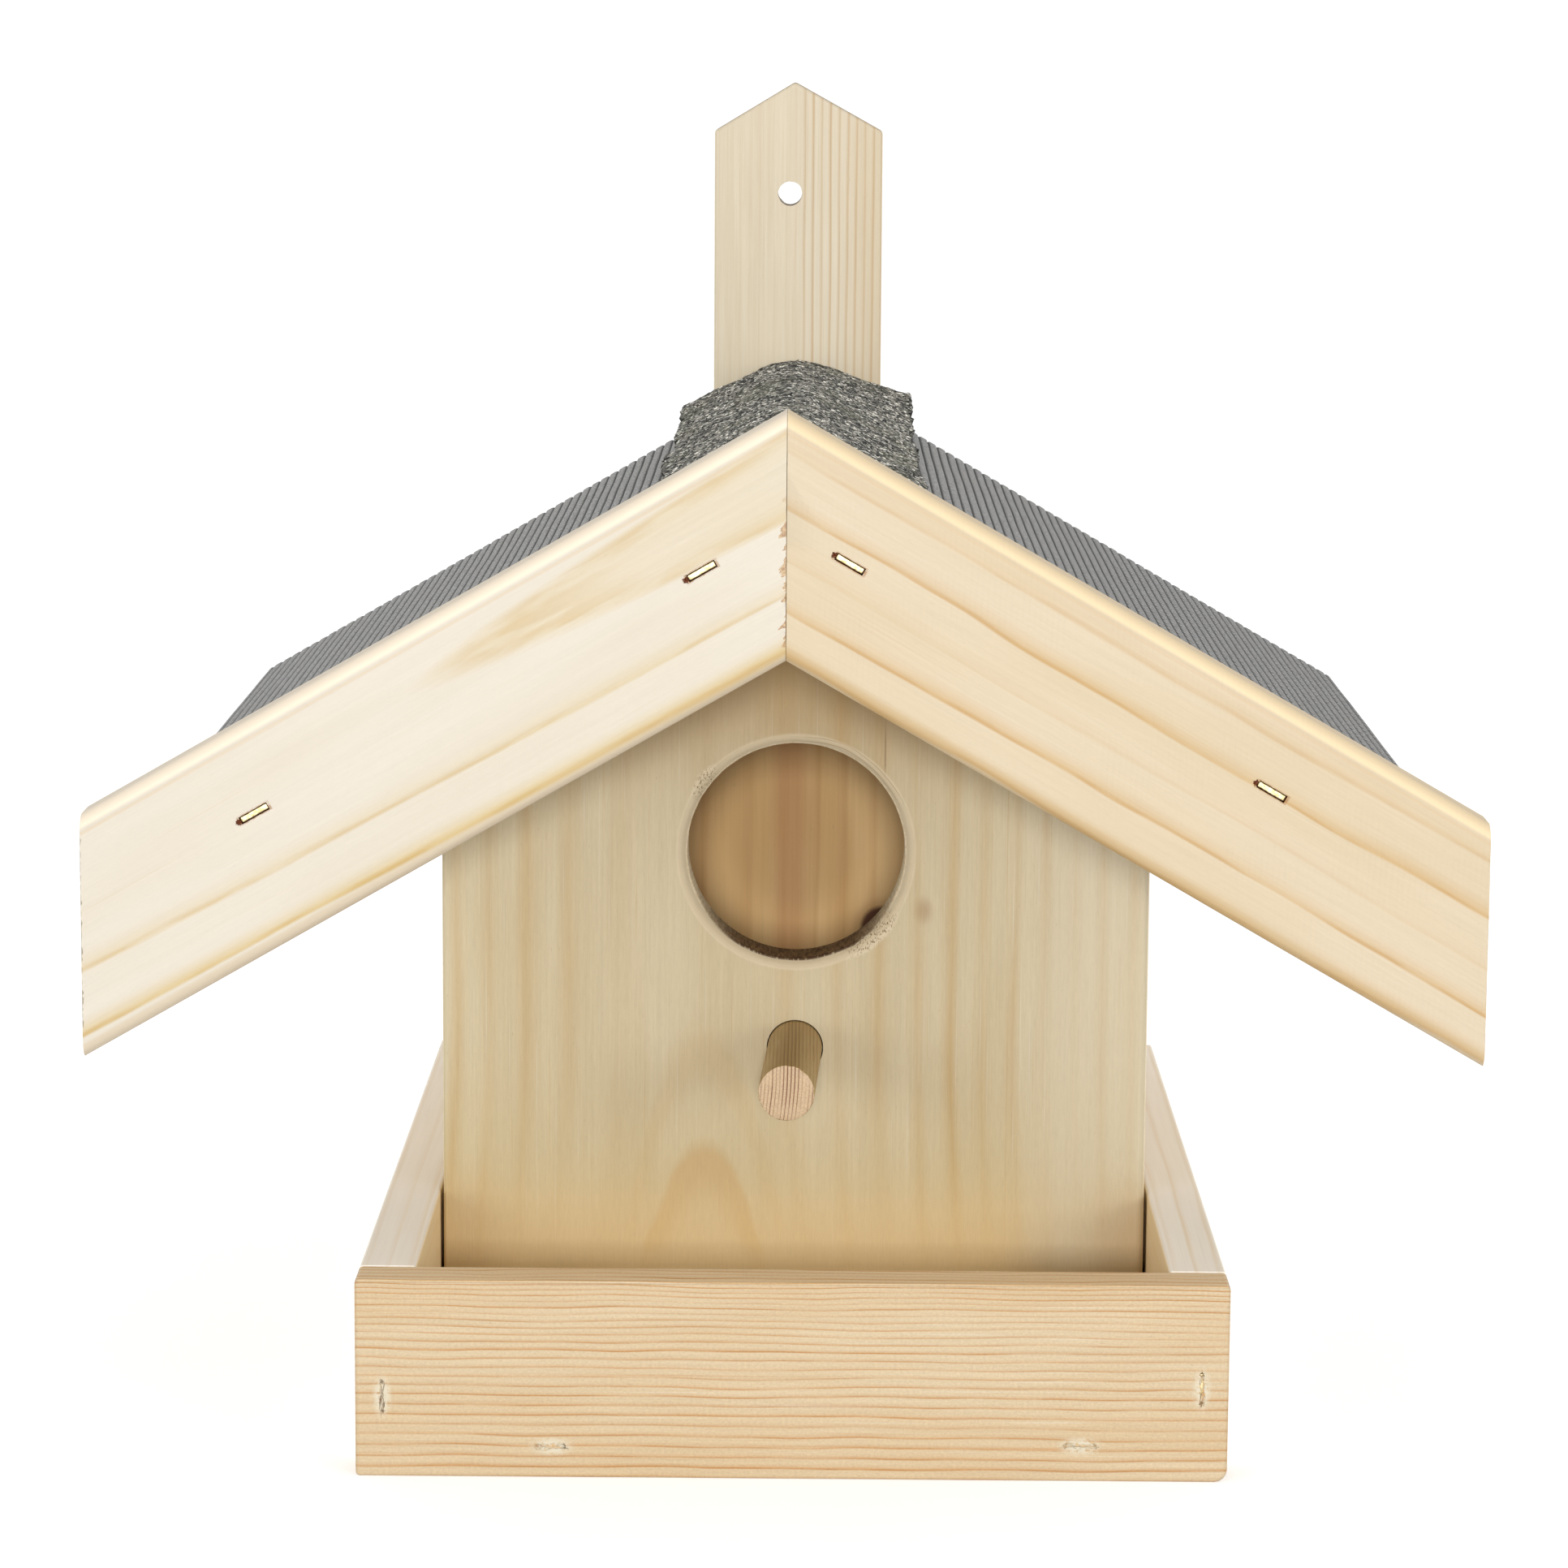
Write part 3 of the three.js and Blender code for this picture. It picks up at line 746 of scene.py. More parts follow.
def paint_bore(recipe, grain, place, away):
    """The fuzzy wall of the entrance: pale painted light above, dark painted shade below, with a
    splintered dark crack.
    """
    _, y, z = recipe.axes(place)
    bored = recipe.times(recipe.span(away, ENTRANCE_RADIUS + 0.6, ENTRANCE_RADIUS + 0.3),
                         recipe.span(y, 1.2, 1.7))
    fuzz = recipe.span(recipe.noise(place, (0.5, 3.5, 0.5), 8, 3.0, 0.7), 0.35, 0.65)
    # Painted light on the upper wall and painted shade on the lower wall.
    upper = recipe.blend(fuzz, paint(226, 208, 172), paint(250, 238, 210))
    lower = recipe.blend(fuzz, paint(84, 62, 40), paint(140, 116, 84))
    grain.tint(bored, recipe.blend(recipe.span(z, -18.0, -6.0), lower, upper))
    splinters = recipe.span(recipe.noise(place, (0.7, 9, 9), 4, 3.0, 0.8), 0.35, 0.5)
    crack = recipe.times(recipe.beside(y, 1.45, 0.7), splinters, recipe.span(z, -13.0, -18.0),
                         recipe.span(away, 22, 21.5))
    grain.tint(crack, seen(84, 46, 24), 0.8)


def tray_front_wood():
    """Close orange rings that lie along the board, bruised and pale round the staples, with painted
    light on the top face and painted shade in the staple hollows.
    """
    recipe = Recipe("ringed_wood")
    top = box_mm("tray_front")[1].z
    y = box_mm("tray_front")[0].y
    grain = Grain(
        recipe, (0, y, top), SIDEWAYS, pith=(110.0, 40.0), first=117.0, spacing=1.85,
        base=seen(233, 210, 172), second=seen(229, 202, 160), late=seen(212, 156, 90),
        crowd=6.0, fade=(0.35, 1.0), late_from=0.4, waver=(0.8, 26), streak=0.05, seed=21,
        along=(0.55, 1.0), hair=0.3, fleck=0.45, sharp=0.16, edge=0.9)
    grain.roughen((0.42, 0.42, 0.55), 0.11)
    # Painted light: the top face is painted much brighter than the front.
    up = recipe.axes(recipe.normal)[2]
    grain.tint(recipe.span(up, 0.6, 0.95), recipe.shaded(grain.colour, 1.72))
    staples = [f"tray_front_staple_{s}_{p}" for s in ("left", "right") for p in ("end", "base")]
    bruise = bruises(recipe, staples, 9.5, 4.2)
    crumbs = recipe.noise(grain.place, (0.55, 0.55, 0.7), 5, 3.0, 0.75)
    ragged = recipe.times(bruise, recipe.span(crumbs, 0.36, 0.5))
    grain.tint(ragged, seen(246, 237, 212), 0.85)
    grain.raise_by(bruise, crumbs)
    # Painted shade in the staple hollows: dark brown, but lighter in the deep hollow at the right end.
    shade_in_hollow = recipe.times(bruise, recipe.span(grain.depth, 0.15, 0.6))
    right_end = recipe.span(grain.length, 60.0, 62.0)
    hollow = recipe.blend(right_end, paint(214, 184, 140), seen(140, 92, 58))
    grain.tint(recipe.times(shade_in_hollow, recipe.span(crumbs, 0.6, 0.45, 0.2, 0.85)), hollow)
    # Painted light on the sides and back.
    grain.paint_light_on_sides(1.7)
    return grain.finish(0.08)


def tray_side_wood(side):
    """Pale boards with faint rings that run from front to back, with painted warm shade on their inner
    faces.
    """
    recipe = Recipe(f"tray_side_wood_{HAND[side]}")
    grain = Grain(
        recipe, (side * 65.6, 0, 35), BACKWARDS, pith=(side * 40, -20), first=0.0, spacing=3.4,
        base=paint(238, 232, 220), second=paint(243, 237, 226), late=paint(226, 206, 172),
        fade=(0.2, 0.8), late_from=0.6, waver=(0.8, 60), streak=0.02, seed=31 + side,
        hair=0.1, fleck=0.15, sharp=0.12)
    # Painted warm shade on the inner faces.
    inward = recipe.span(recipe.times(recipe.axes(recipe.normal)[0], -side), 0.6, 0.95)
    grain.tint(inward, paint(240, 216, 164), 0.75)
    return grain.finish(0.04)


def batten_wood():
    """Upright grain, plain on the left and closely lined on the right."""
    recipe = Recipe("batten_wood")
    grain = Grain(
        recipe, (0, BACK_Y, 0), UPRIGHT, pith=(-24.0, 6.0), first=22.0, spacing=1.75,
        base=seen(241, 226, 198), second=seen(244, 230, 203), late=seen(208, 166, 108),
        fade=(0.4, 1.0), late_from=0.45, waver=(0.6, 50), streak=0.03, seed=41,
        along=(0.7, 1.0), hair=0.25, fleck=0.3, sharp=0.2)
    drift = recipe.noise(grain.place, (9, 9, 34), 3, 1.0)
    bound = recipe.calc("MULTIPLY_ADD", drift, 9.0, recipe.calc("SUBTRACT", grain.across, 4.5))
    plain = recipe.times(recipe.span(bound, 0.5, -2.5), recipe.calc("SUBTRACT", 1.0, grain.end))
    soft = recipe.blend(
        recipe.span(grain.fibre, 0.3, 0.7), seen(238, 221, 190), seen(243, 229, 201))
    soft = recipe.shaded(soft, recipe.span(drift, 0.3, 0.7, 0.985, 1.02))
    grain.tint(plain, soft, 0.9)
    grain.tint(recipe.span(bound, 7.0, 15.0), seen(232, 208, 168), 0.35)
    # Painted light on the sides and back.
    grain.paint_light_on_sides(1.6)
    return grain.finish(0.05)


def rear_wood():
    """The back of the nest chamber: its inner face painted warmer and brighter than its outside as
    painted light, brightest away from the middle, with a dark knot low on the right.
    """
    recipe = Recipe("rear_wood")
    y = box_mm("rear_wall")[0].y
    grain = Grain(
        recipe, (0, y, 0), UPRIGHT, pith=(-30.0, 24.0), first=6.0, spacing=5.2,
        base=paint(236, 196, 136), second=paint(224, 180, 118), late=paint(194, 136, 76),
        fade=(0.2, 0.6), late_from=0.4, waver=(1.2, 60), streak=0.04, seed=51, hair=0.15,
        fleck=0.3, sharp=0.14)
    grain.tint(recipe.beside(grain.across, -1.5, 11.0, 0.2), paint(190, 124, 70), 0.5)
    # Painted light: up to a third brighter away from the spot behind the entrance, to make up for the
    # light that reaches the edges less.
    apart = recipe.vector("LENGTH", recipe.placed((0, y, ENTRANCE_HEIGHT - 18)))
    grain.colour = recipe.shaded(grain.colour, recipe.span(apart, 10.0, 27.0, 0.96, 1.3))
    place = recipe.placed((17.6, y, 61.6))
    halo = recipe.near(place, (0, 0, 0), (14.0, 16, 15.0), 0.5, 1.0)
    knot = recipe.near(place, (0, 0, 0), (9.6, 16, 10.4), 0.75, 1.0)
    grain.tint(halo, paint(170, 112, 52), 0.4)
    grain.tint(knot, paint(96, 46, 20), 0.94)
    # The outside faces keep plain wood colours, without the inner face's painted light.
    outside = recipe.blend(grain.line, paint(218, 195, 156), paint(194, 154, 102))
    outside = recipe.shaded(outside, recipe.span(grain.fibre, 0.25, 0.75, 0.96, 1.04, False))
    grain.tint(recipe.span(grain.depth, 0.2, 0.5), outside)
    return grain.finish(0.05)


def plain_wood(name, origin, turn, pith, spacing, seed):
    """The boards that are mostly out of sight."""
    recipe = Recipe(name)
    grain = Grain(
        recipe, origin, turn, pith=pith, first=0.0, spacing=spacing,
        base=paint(216, 193, 154), second=paint(222, 201, 166), late=paint(192, 150, 98),
        fade=(0.3, 1.0), late_from=0.5, waver=(1.0, 60), streak=0.03, seed=seed, hair=0.2,
        fleck=0.3, sharp=0.12)
    return grain.finish(0.05)


def perch_wood():
    """A turned dowel: lengthwise streaks and close, upright rings on its end."""
    recipe = Recipe("perch_wood")
    grain = Grain(
        recipe, (0, PANEL_Y, PERCH_HEIGHT), (math.pi / 2, 0, math.radians(-12)),
        pith=(-60.0, 8.0), first=0.0, spacing=0.66,
        base=seen(228, 196, 134), second=seen(210, 176, 116), late=seen(176, 132, 76),
        fade=(0.5, 1.0), late_from=0.3, waver=(0.12, 20), streak=0.06, seed=61, hair=0.3,
        fleck=0.3, sharp=0.2)
    pores = recipe.noise(grain.place, (0.25, 0.25, 0.25), 4, 2.0, 0.6)
    cut = recipe.blend(recipe.span(grain.line, 0.2, 0.8), seen(234, 202, 162), seen(150, 96, 60))
    cut = recipe.shaded(cut, recipe.span(pores, 0.3, 0.7, 0.8, 1.05))
    grain.tint(grain.end, cut)
    grain.raise_by(grain.end, recipe.calc("SUBTRACT", 1.0, grain.line))
    return grain.finish(0.12)


def ribbed_felt(side):
    """Grey felt with ribs: dark painted shade between them, flecked with pale and black threads."""
    recipe = Recipe(f"ribbed_felt_{HAND[side]}")
    run = felt_run()
    lay = recipe.add("Mapping", {"Vector": recipe.coords["UV"],
                                 "Scale": (run, BACK_Y - ROOF_FRONT_Y, 1)}).outputs[0]
    s, y, _ = recipe.axes(lay)
    groove = gap_between(recipe, recipe.calc("DIVIDE", s, RIB_PITCH), 0.3)
    salt = recipe.noise(lay, (0.34, 0.5, 1), 1, 3.0, 0.75)
    broad = recipe.noise(lay, (18, 30, 1), 2, 3.0)
    strands = []
    for slope in (0.62, -0.62):
        phase = recipe.calc("MULTIPLY_ADD", y, slope, s)
        wave = recipe.calc("SINE", recipe.times(phase, 2 * math.pi / 1.15))
        strands.append(recipe.span(wave, -0.2, 0.9))
    weave = recipe.times(recipe.calc("ADD", *strands), 0.5)
    colour = recipe.blend(recipe.span(salt, 0.32, 0.7, smooth=False), paint(84, 85, 86),
                          paint(204, 203, 200))
    colour = recipe.blend(recipe.span(broad, 0.4, 0.7, 0.0, 0.25), colour, paint(156, 153, 148))
    colour = recipe.shaded(colour, recipe.span(weave, 0.0, 1.0, 0.84, 1.1))
    # Painted shade in the grooves between the ribs.
    colour = recipe.blend(recipe.times(groove, 0.78), colour, paint(40, 41, 43))
    if side > 0:
        # The right side shows courses across the ribs, clearer toward the eave.
        course = recipe.calc("DIVIDE", recipe.calc("MULTIPLY_ADD", s, 3.2, y), 5.2)
        slant = recipe.calc("MULTIPLY_ADD", y, 0.13, s)
        clearer = recipe.span(slant, run * 0.25, run * 0.6, 0.2, 0.65)
        crossing = recipe.times(gap_between(recipe, course, 0.32), clearer)
        colour = recipe.blend(crossing, colour, paint(58, 59, 61))
    height = recipe.calc("MULTIPLY_ADD", salt, 0.6, recipe.times(weave, 0.5))
    return recipe.finish(colour, 0.92, height, 0.22, specular=0.2)


def gap_between(recipe, turns, start):
    """1 at the whole numbers of a value, for the dark gap between two ribs."""
    off_middle = recipe.calc("ABSOLUTE", recipe.calc("SUBTRACT", recipe.calc("FRACT", turns), 0.5))
    return recipe.span(off_middle, start, 0.46)


def mineral_felt():
    """Bitumen felt under crushed stone: grey, white, black and olive grains, and dark painted shade on
    its undersides.
    """
    recipe = Recipe("mineral_felt")
    place = recipe.placed((0, 0, RIDGE_Z))
    lying = recipe.add("Mapping", {"Vector": place, "Scale": (0.62, 1.0, 1.35)}).outputs[0]
    grit = recipe.add("TexVoronoi", {"Vector": lying, "Scale": 1.75, "Randomness": 1.0})
    tone = recipe.add("SeparateColor", {0: grit.outputs["Color"]}).outputs
    stones = recipe.add("ValToRGB")
    recipe.plug(stones.inputs[0], tone[0])
    ramp = stones.color_ramp
    ramp.interpolation = "CONSTANT"
    shades = [(0.0, (24, 25, 25)), (0.18, (66, 66, 63)), (0.36, (106, 105, 98)),
              (0.6, (140, 138, 128)), (0.78, (186, 183, 172)), (0.93, (242, 239, 228))]
    set_stops(ramp, [(at, paint(*shade)) for at, shade in shades])
    dust = recipe.noise(place, (0.3, 0.3, 0.3), 2, 2.0, 0.7)
    colour = recipe.shaded(stones.outputs[0], recipe.span(dust, 0.3, 0.7, 0.54, 1.58))
    bare = recipe.noise(place, (4.5, 9.0, 1.6), 3, 4.0, 0.75)
    colour = recipe.blend(recipe.span(bare, 0.57, 0.66, 0.0, 0.85), colour, paint(34, 34, 34))
    olive = recipe.noise(place, (9, 20, 9), 5, 2.0)
    colour = recipe.blend(recipe.span(olive, 0.5, 0.7, 0.0, 0.25), colour, paint(112, 112, 88))
    # Painted shade: faces that turn away from above are painted dark.
    under = recipe.span(recipe.axes(recipe.normal)[2], -0.1, 0.25, 1.0, 0.0)
    colour = recipe.blend(recipe.times(under, 0.8), colour, paint(36, 36, 35))
    height = recipe.calc("MULTIPLY_ADD", grit.outputs["Distance"], -0.8, dust)
    return recipe.finish(colour, 0.95, height, 0.35, specular=0.25)


def brass_wire():
    """Lacquered brass-coloured wire, a little dull and scuffed."""
    recipe = Recipe("brass_wire")
    place = recipe.placed((0, 0, 0))
    scuff = recipe.noise(place, (0.8, 0.8, 0.8), 1, 3.0, 0.6)
    colour = recipe.blend(recipe.span(scuff, 0.35, 0.65), paint(176, 160, 112), paint(222, 210, 170))
    rough = recipe.span(scuff, 0.3, 0.7, 0.36, 0.52)
    return recipe.finish(colour, rough, scuff, 0.03, metallic=1.0, specular=0.5)


# ---- Boards ----


def trim_to_roof(board, lift=0.0):
    """Saws the top of an upright board to the slope of the roof on both sides."""
    top = (0, 0, WALL_TOP_Z + lift)
    for side in (-1, 1):
        saw(board, top, (side * math.sin(PITCH), 0, math.cos(PITCH)))


def entrance_cutter():
    """The bore of the entrance, with a splintered, flared mouth."""
    bpy.ops.object.select_all(action="DESELECT")
    bpy.ops.mesh.primitive_cylinder_add(
        vertices=224, radius=1, depth=1, location=(0, 0, 0), rotation=(math.pi / 2, 0, 0))
    cutter = settle(bpy.context.object, "bore")
    # Each ring's place behind the panel's face, its flare and how ragged it is.
    rings = [(14.0, 0.0, 0.08), (5.0, 0.0, 0.1), (1.75, 0.0, 0.16), (1.35, 0.3, 0.3),
             (0.7, 0.75, 0.3), (0.25, 1.25, 0.35), (0.0, 1.75, 0.4), (-1.6, 2.4, 0.2),
             (-3.0, 2.4, 0.2)]
    begin_edit(cutter, "FACE")
    for face in cutter.data.polygons:
        face.select = face.normal.y < -0.9
    with editing():
        for _ in rings[2:]:
            bpy.ops.mesh.extrude_region_move(TRANSFORM_OT_translate={"value": (0, -1, 0)})
    for vert in cutter.data.vertices:
        behind, flare, ragged = rings[round(0.5 - vert.co.y)]
        angle = math.atan2(vert.co.z, vert.co.x)
        worn = 0.2 + 0.9 * math.exp(-((angle + 0.8) / 0.5) ** 2)
        worn += 0.7 * math.exp(-((angle - 2.5) / 0.35) ** 2)
        spot = Vector((math.cos(angle), math.sin(angle), 0))
        shake = noise.noise(spot * 9 + Vector((0, 0, behind))) * 0.6
        shake += noise.noise(spot * 38 + Vector((3, 0, behind * 2))) * 0.6
        radius = ENTRANCE_RADIUS + flare + ragged * worn * shake
        vert.co = mm(spot.x * radius, PANEL_Y + behind, ENTRANCE_HEIGHT + spot.y * radius)
    with editing_all(cutter):
        bpy.ops.mesh.normals_make_consistent(inside=False)
    return cutter


def round_cutter(radius, start, end, x, z, skew=0.0, ragged=0.0):
    """A round bit along Y, turned about the Z axis by the skew."""
    bpy.ops.object.select_all(action="DESELECT")
    bpy.ops.mesh.primitive_cylinder_add(
        vertices=64, radius=radius / 1000, depth=(end - start) / 1000,
        location=mm(0, (start + end) / 2, 0), rotation=(math.pi / 2, 0, 0))
    bit = settle(bpy.context.object, "bit")
    bit.rotation_euler = (0, 0, skew)
    bit.location = mm(x, 0, z)
    settle(bit, "bit")
    for vert in bit.data.vertices:
        vert.co += Vector((1, 0, 1)) * (noise.noise(vert.co * 900) * ragged / 1000)
    return bit


def make_front_panel():
    low, high = box_mm("front_panel")
    board = plank("front_panel_board", low, (high.x, high.y, high.z + 1))
    round_edges(board, 1.6, lambda m, d: abs(d.z) > 0.9 and m.x > 0 and m.y < low.y + 1, 4)
    round_edges(board, 0.5, lambda m, d: abs(d.z) > 0.9 and m.x < 0, 2)
    trim_to_roof(board)
    carve(board, entrance_cutter())
    carve(board, perch_socket())
    for side in ("left", "right"):
        carve(board, staple_seat(f"base_staple_{side}_front", (0, 0, -1)))
    return fit(board, "softwood", panel_wood(), "front_panel")


def perch_socket():
    """A cutter for the perch's hole, a little wider and deeper than the perch."""
    bit = round_cutter(PERCH_RADIUS + 0.22, -12, PERCH_DEPTH + 0.3, 0, 0, -PERCH_SKEW)
    bit.location = mm(0, PANEL_Y, PERCH_HEIGHT)
    return settle(bit, "bit")


def make_perch():
    low, _ = box_mm("perch")
    reach = (PANEL_Y - low.y) / math.cos(PERCH_SKEW)
    bpy.ops.object.select_all(action="DESELECT")
    bpy.ops.mesh.primitive_cylinder_add(
        vertices=72, radius=PERCH_RADIUS / 1000, depth=(reach + PERCH_DEPTH) / 1000,
        location=mm(0, (PERCH_DEPTH - reach) / 2, 0), rotation=(math.pi / 2, 0, 0))
    dowel = settle(bpy.context.object, "perch_dowel")
    round_edges(dowel, 0.25, lambda m, d: abs(d.y) < 0.5, 2)
    begin_edit(dowel, "FACE")
    for face in dowel.data.polygons:
        face.select = face.normal.y < -0.99
    with editing():
        for width in (1.0, 1.3, 1.3):
            bpy.ops.mesh.inset(thickness=width / 1000)
    for vert in dowel.data.vertices:
        if vert.co.y < (0.6 - reach) / 1000:
            rough = noise.noise(vert.co * 1600) * 0.12 / 1000
            vert.co += Vector((rough, abs(rough), rough))
    dowel.rotation_euler = (0, 0, -PERCH_SKEW)
    dowel.location = mm(0, PANEL_Y, PERCH_HEIGHT)
    settle(dowel, "perch_dowel")
    return fit(dowel, "dowel_wood", perch_wood(), "perch")


def make_rear_wall():
    low, high = box_mm("rear_wall")
    board = plank("rear_wall_board", low, (high.x, high.y, high.z + 1))
    trim_to_roof(board)
    ease(board, 0.4)
    for side in ("left", "right"):
        carve(board, staple_seat(f"base_staple_{side}_rear", (0, 0, -1)))
        for end in ("lower", "upper"):
            carve(board, staple_seat(f"rear_wall_staple_{side}_{end}", (0, 1, 0)))
    return fit(board, "softwood", rear_wood(), "rear_wall")


def make_side_wall(side):
    word = HAND[side]
    low, high = box_mm(f"side_wall_{word}")
    board = plank(f"side_wall_{word}_board", low, (high.x, high.y, high.z + 1))
    saw(board, (0, 0, WALL_TOP_Z), (side * math.sin(PITCH), 0, math.cos(PITCH)))
    ease(board, 0.4)
    material = plain_wood(f"side_wall_wood_{word}", (side * HALF_HOUSE, 0, 0),
                          (math.pi / 2, 0, math.pi / 2), (8, -side * 30), 4.2, 71 + side)
    return fit(board, "softwood", material, f"side_wall_{word}")


def make_tray_base():
    board = plank("tray_base_board", *box_mm("tray_base"))
    ease(board, 0.4)
    for side in ("left", "right"):
        for end in ("front", "rear"):
            carve(board, staple_seat(f"base_staple_{side}_{end}", (0, 0, -1)))
    material = plain_wood("tray_base_wood", (0, 0, 10), BACKWARDS, (25, -35), 4.6, 81)
    return fit(board, "softwood", material, "tray_base")


def make_tray_front():
    low, high = box_mm("tray_front")
    board = plank("tray_front_board", low, high)
    round_edges(board, 2.2, lambda m, d: abs(d.y) > 0.9 and m.x > 0 and m.z < 5, 4)
    ease(board, 0.7, 3)
    for i, side in enumerate(("left", "right")):
        for place, upright in (("end", 1), ("base", 0)):
            middle = crown(f"tray_front_staple_{side}_{place}", low.y)
            along = Vector((1 - upright, 0, upright))
            over = Vector((upright, 0, 1 - upright))
            deep = Vector((0, 2.2 if upright and side == "right" else 0.9, 0))
            slit = along * 5.4 + over * 1.1 + deep
            carve(board, torn_hollow(middle, slit, 0.0, 0.9, 3 + i * 5 + upright))
            for reach in (-2.5, 2.6):
                pit = along * 1.0 + over * 0.9 + deep
                seed = reach + i * 3 + upright
                carve(board, torn_hollow(middle + along * reach, pit, 0.0, 0.7, seed))
    return fit(board, "ringed_softwood", tray_front_wood(), "tray_front")


def make_tray_side(side):
    word = HAND[side]
    board = plank(f"tray_side_{word}_board", *box_mm(f"tray_side_{word}"))
    ease(board, 0.6)
    for end in ("front", "rear"):
        carve(board, staple_seat(f"tray_side_staple_{word}_{end}", (side, 0, 0)))
    return fit(board, "pale_softwood", tray_side_wood(side), f"tray_side_{word}")


def on_slope(side, along, up, mitre_x=0.0):
    """A point of the roof from its distance down the slope and its height square to it."""
    x = mitre_x + side * (along * math.cos(PITCH) + up * math.sin(PITCH))
    return x, RIDGE_Z - along * math.sin(PITCH) + up * math.cos(PITCH)


def sloped_plank(name, side, run, rise, depth, mitre_x=0.0):
    """A board along one side of the roof. Its run, rise and depth are pairs of distances."""
    near, far = sorted((side * run[0], side * run[1]))
    low = (near, depth[0], rise[0])
    high = (far, depth[1], rise[1])
    return plank(name, low, high, side * PITCH, (mitre_x, 0, RIDGE_Z))


def make_roof_board(side):
    word = HAND[side]
    under_felt = FELT_THICKNESS + 0.3
    edge = EAVE_X / math.cos(PITCH) - under_felt
    board = sloped_plank(f"roof_board_{word}_board", side, (-12, edge),
                         (-under_felt - BOARD, -under_felt), (ROOF_FRONT_Y, BACK_Y))
    saw(board, (side * MITRE_GAP / 2, 0, 0), (-side, 0, 0))
    ease(board, 0.4)
    material = plain_wood(f"roof_board_wood_{word}", (0, 0, RIDGE_Z), (0, -side * PITCH, 0),
                          (side * 60, 20), 3.6, 91 + side)
    return fit(board, "softwood", material, f"roof_board_{word}")


def make_gable_board(side):
    word = HAND[side]
    low, high = box_mm(f"gable_board_{word}")
    end_x = low.x if side < 0 else high.x
    mitre_x = GABLE_MITRE_X + side * GABLE_GAP / 2
    board = sloped_plank(f"gable_board_{word}_board", side, (-40, 180),
                         (GABLE_PROUD - GABLE_WIDTH, GABLE_PROUD), (low.y, high.y), GABLE_MITRE_X)
    down_slope = Vector((side * math.cos(PITCH), 0, -math.sin(PITCH)))
    round_edges(board, GABLE_ROUND,
                lambda m, d: abs(d.dot(down_slope)) > 0.99 and m.y < low.y + 1, 6)
    saw(board, (mitre_x, 0, 0), (-side, 0, 0))
    saw(board, (end_x, 0, 0), (side, 0, 0))
    dice = random.Random(4 + side)

    def mitre_chip(point):
        roll = dice.random()
        bite = 0.04 * roll
        if side < 0 and GABLE_TOP_Z - point.z > 10:
            swell = noise.noise(Vector((point.z * 0.55, 7, 1)))
            bite += max(0.0, swell + 0.12) * (1.1 + 1.3 * roll)
        return side * bite, 0, 0

    def end_chip(point):
        return -side * (0.32 if side < 0 else 0.16) * dice.random() ** 2, 0, 0

    score(board, (0, low.y + 0.7, 0), (0, 1, 0))
    ragged_arris(board, lambda p: abs(p.x - mitre_x) < 0.02 and p.y < low.y + 0.01, 70, mitre_chip)
    ragged_arris(board, lambda p: abs(p.x - end_x) < 0.02 and p.y < low.y + 0.01, 60, end_chip)
    for i, end in enumerate(("upper", "lower")):
        node = f"gable_staple_{word}_{end}"
        carve(board, staple_seat(node, (0, -1, 0)))
        pit = crown(node, low.y) - side * 2.9 * down_slope
        carve(board, torn_hollow(pit, (1.3, 1.5, 1.05), side * PITCH, 0.5, 2 + i + side))
    slot = "pale_softwood" if side < 0 else "softwood"
    return fit(board, slot, gable_wood(side), f"gable_board_{word}")


def make_batten():
    low, high = box_mm("hanging_batten")
    peak_x = (low.x + high.x) / 2 - 0.8
    board = plank("hanging_batten_board", low, (high.x, high.y, high.z + 1))
    rise = (high.x - low.x) / 2 * math.tan(PITCH)
    for side, edge in ((-1, low.x), (1, high.x)):
        slope = math.atan2(rise, abs(edge - peak_x))
        saw(board, (peak_x, 0, high.z), (side * math.sin(slope), 0, math.cos(slope)))
    ease(board, 0.45)
    x, z = HANGING_HOLE
    carve(board, round_cutter(HANGING_HOLE_RADIUS, low.y - 2, high.y + 2, x, z, ragged=0.12))
    for end in ("lower", "middle", "upper"):
        carve(board, staple_seat(f"batten_staple_{end}", (0, 1, 0)))
    return fit(board, "softwood", batten_wood(), "hanging_batten")


# ---- Felt ----


def felt_path():
    """The felt's outer line as (along, up) points: down the slope, round the eave and back."""
    edge = EAVE_X / math.cos(PITCH)
    drop = -(2 * FELT_THICKNESS + 0.6 + BOARD)
    radius = 1.7
    points = [(0.0, 0.0), (edge - radius, 0.0)]
    for corner, start in (((edge - radius, -radius), 90), ((edge - radius, drop + radius), 0)):
        for i in range(1, 7):
            angle = math.radians(start - 15 * i)
            points.append((corner[0] + radius * math.cos(angle), corner[1] + radius * math.sin(angle)))
    points.append((edge - FELT_RETURN, drop))
    return [Vector(point) for point in points]


def felt_run():
    """The felt's length over that line."""
    points = felt_path()
    return sum((b - a).length for a, b in zip(points, points[1:]))


def walk(points, distance):
    """The point at a distance along a line, and the direction out of the felt there."""
    for a, b in zip(points, points[1:]):
        step = (b - a).length
        if distance <= step or b is points[-1]:
            ahead = (b - a) / step
            return a + ahead * min(distance, step), Vector((-ahead.y, ahead.x))
        distance -= step


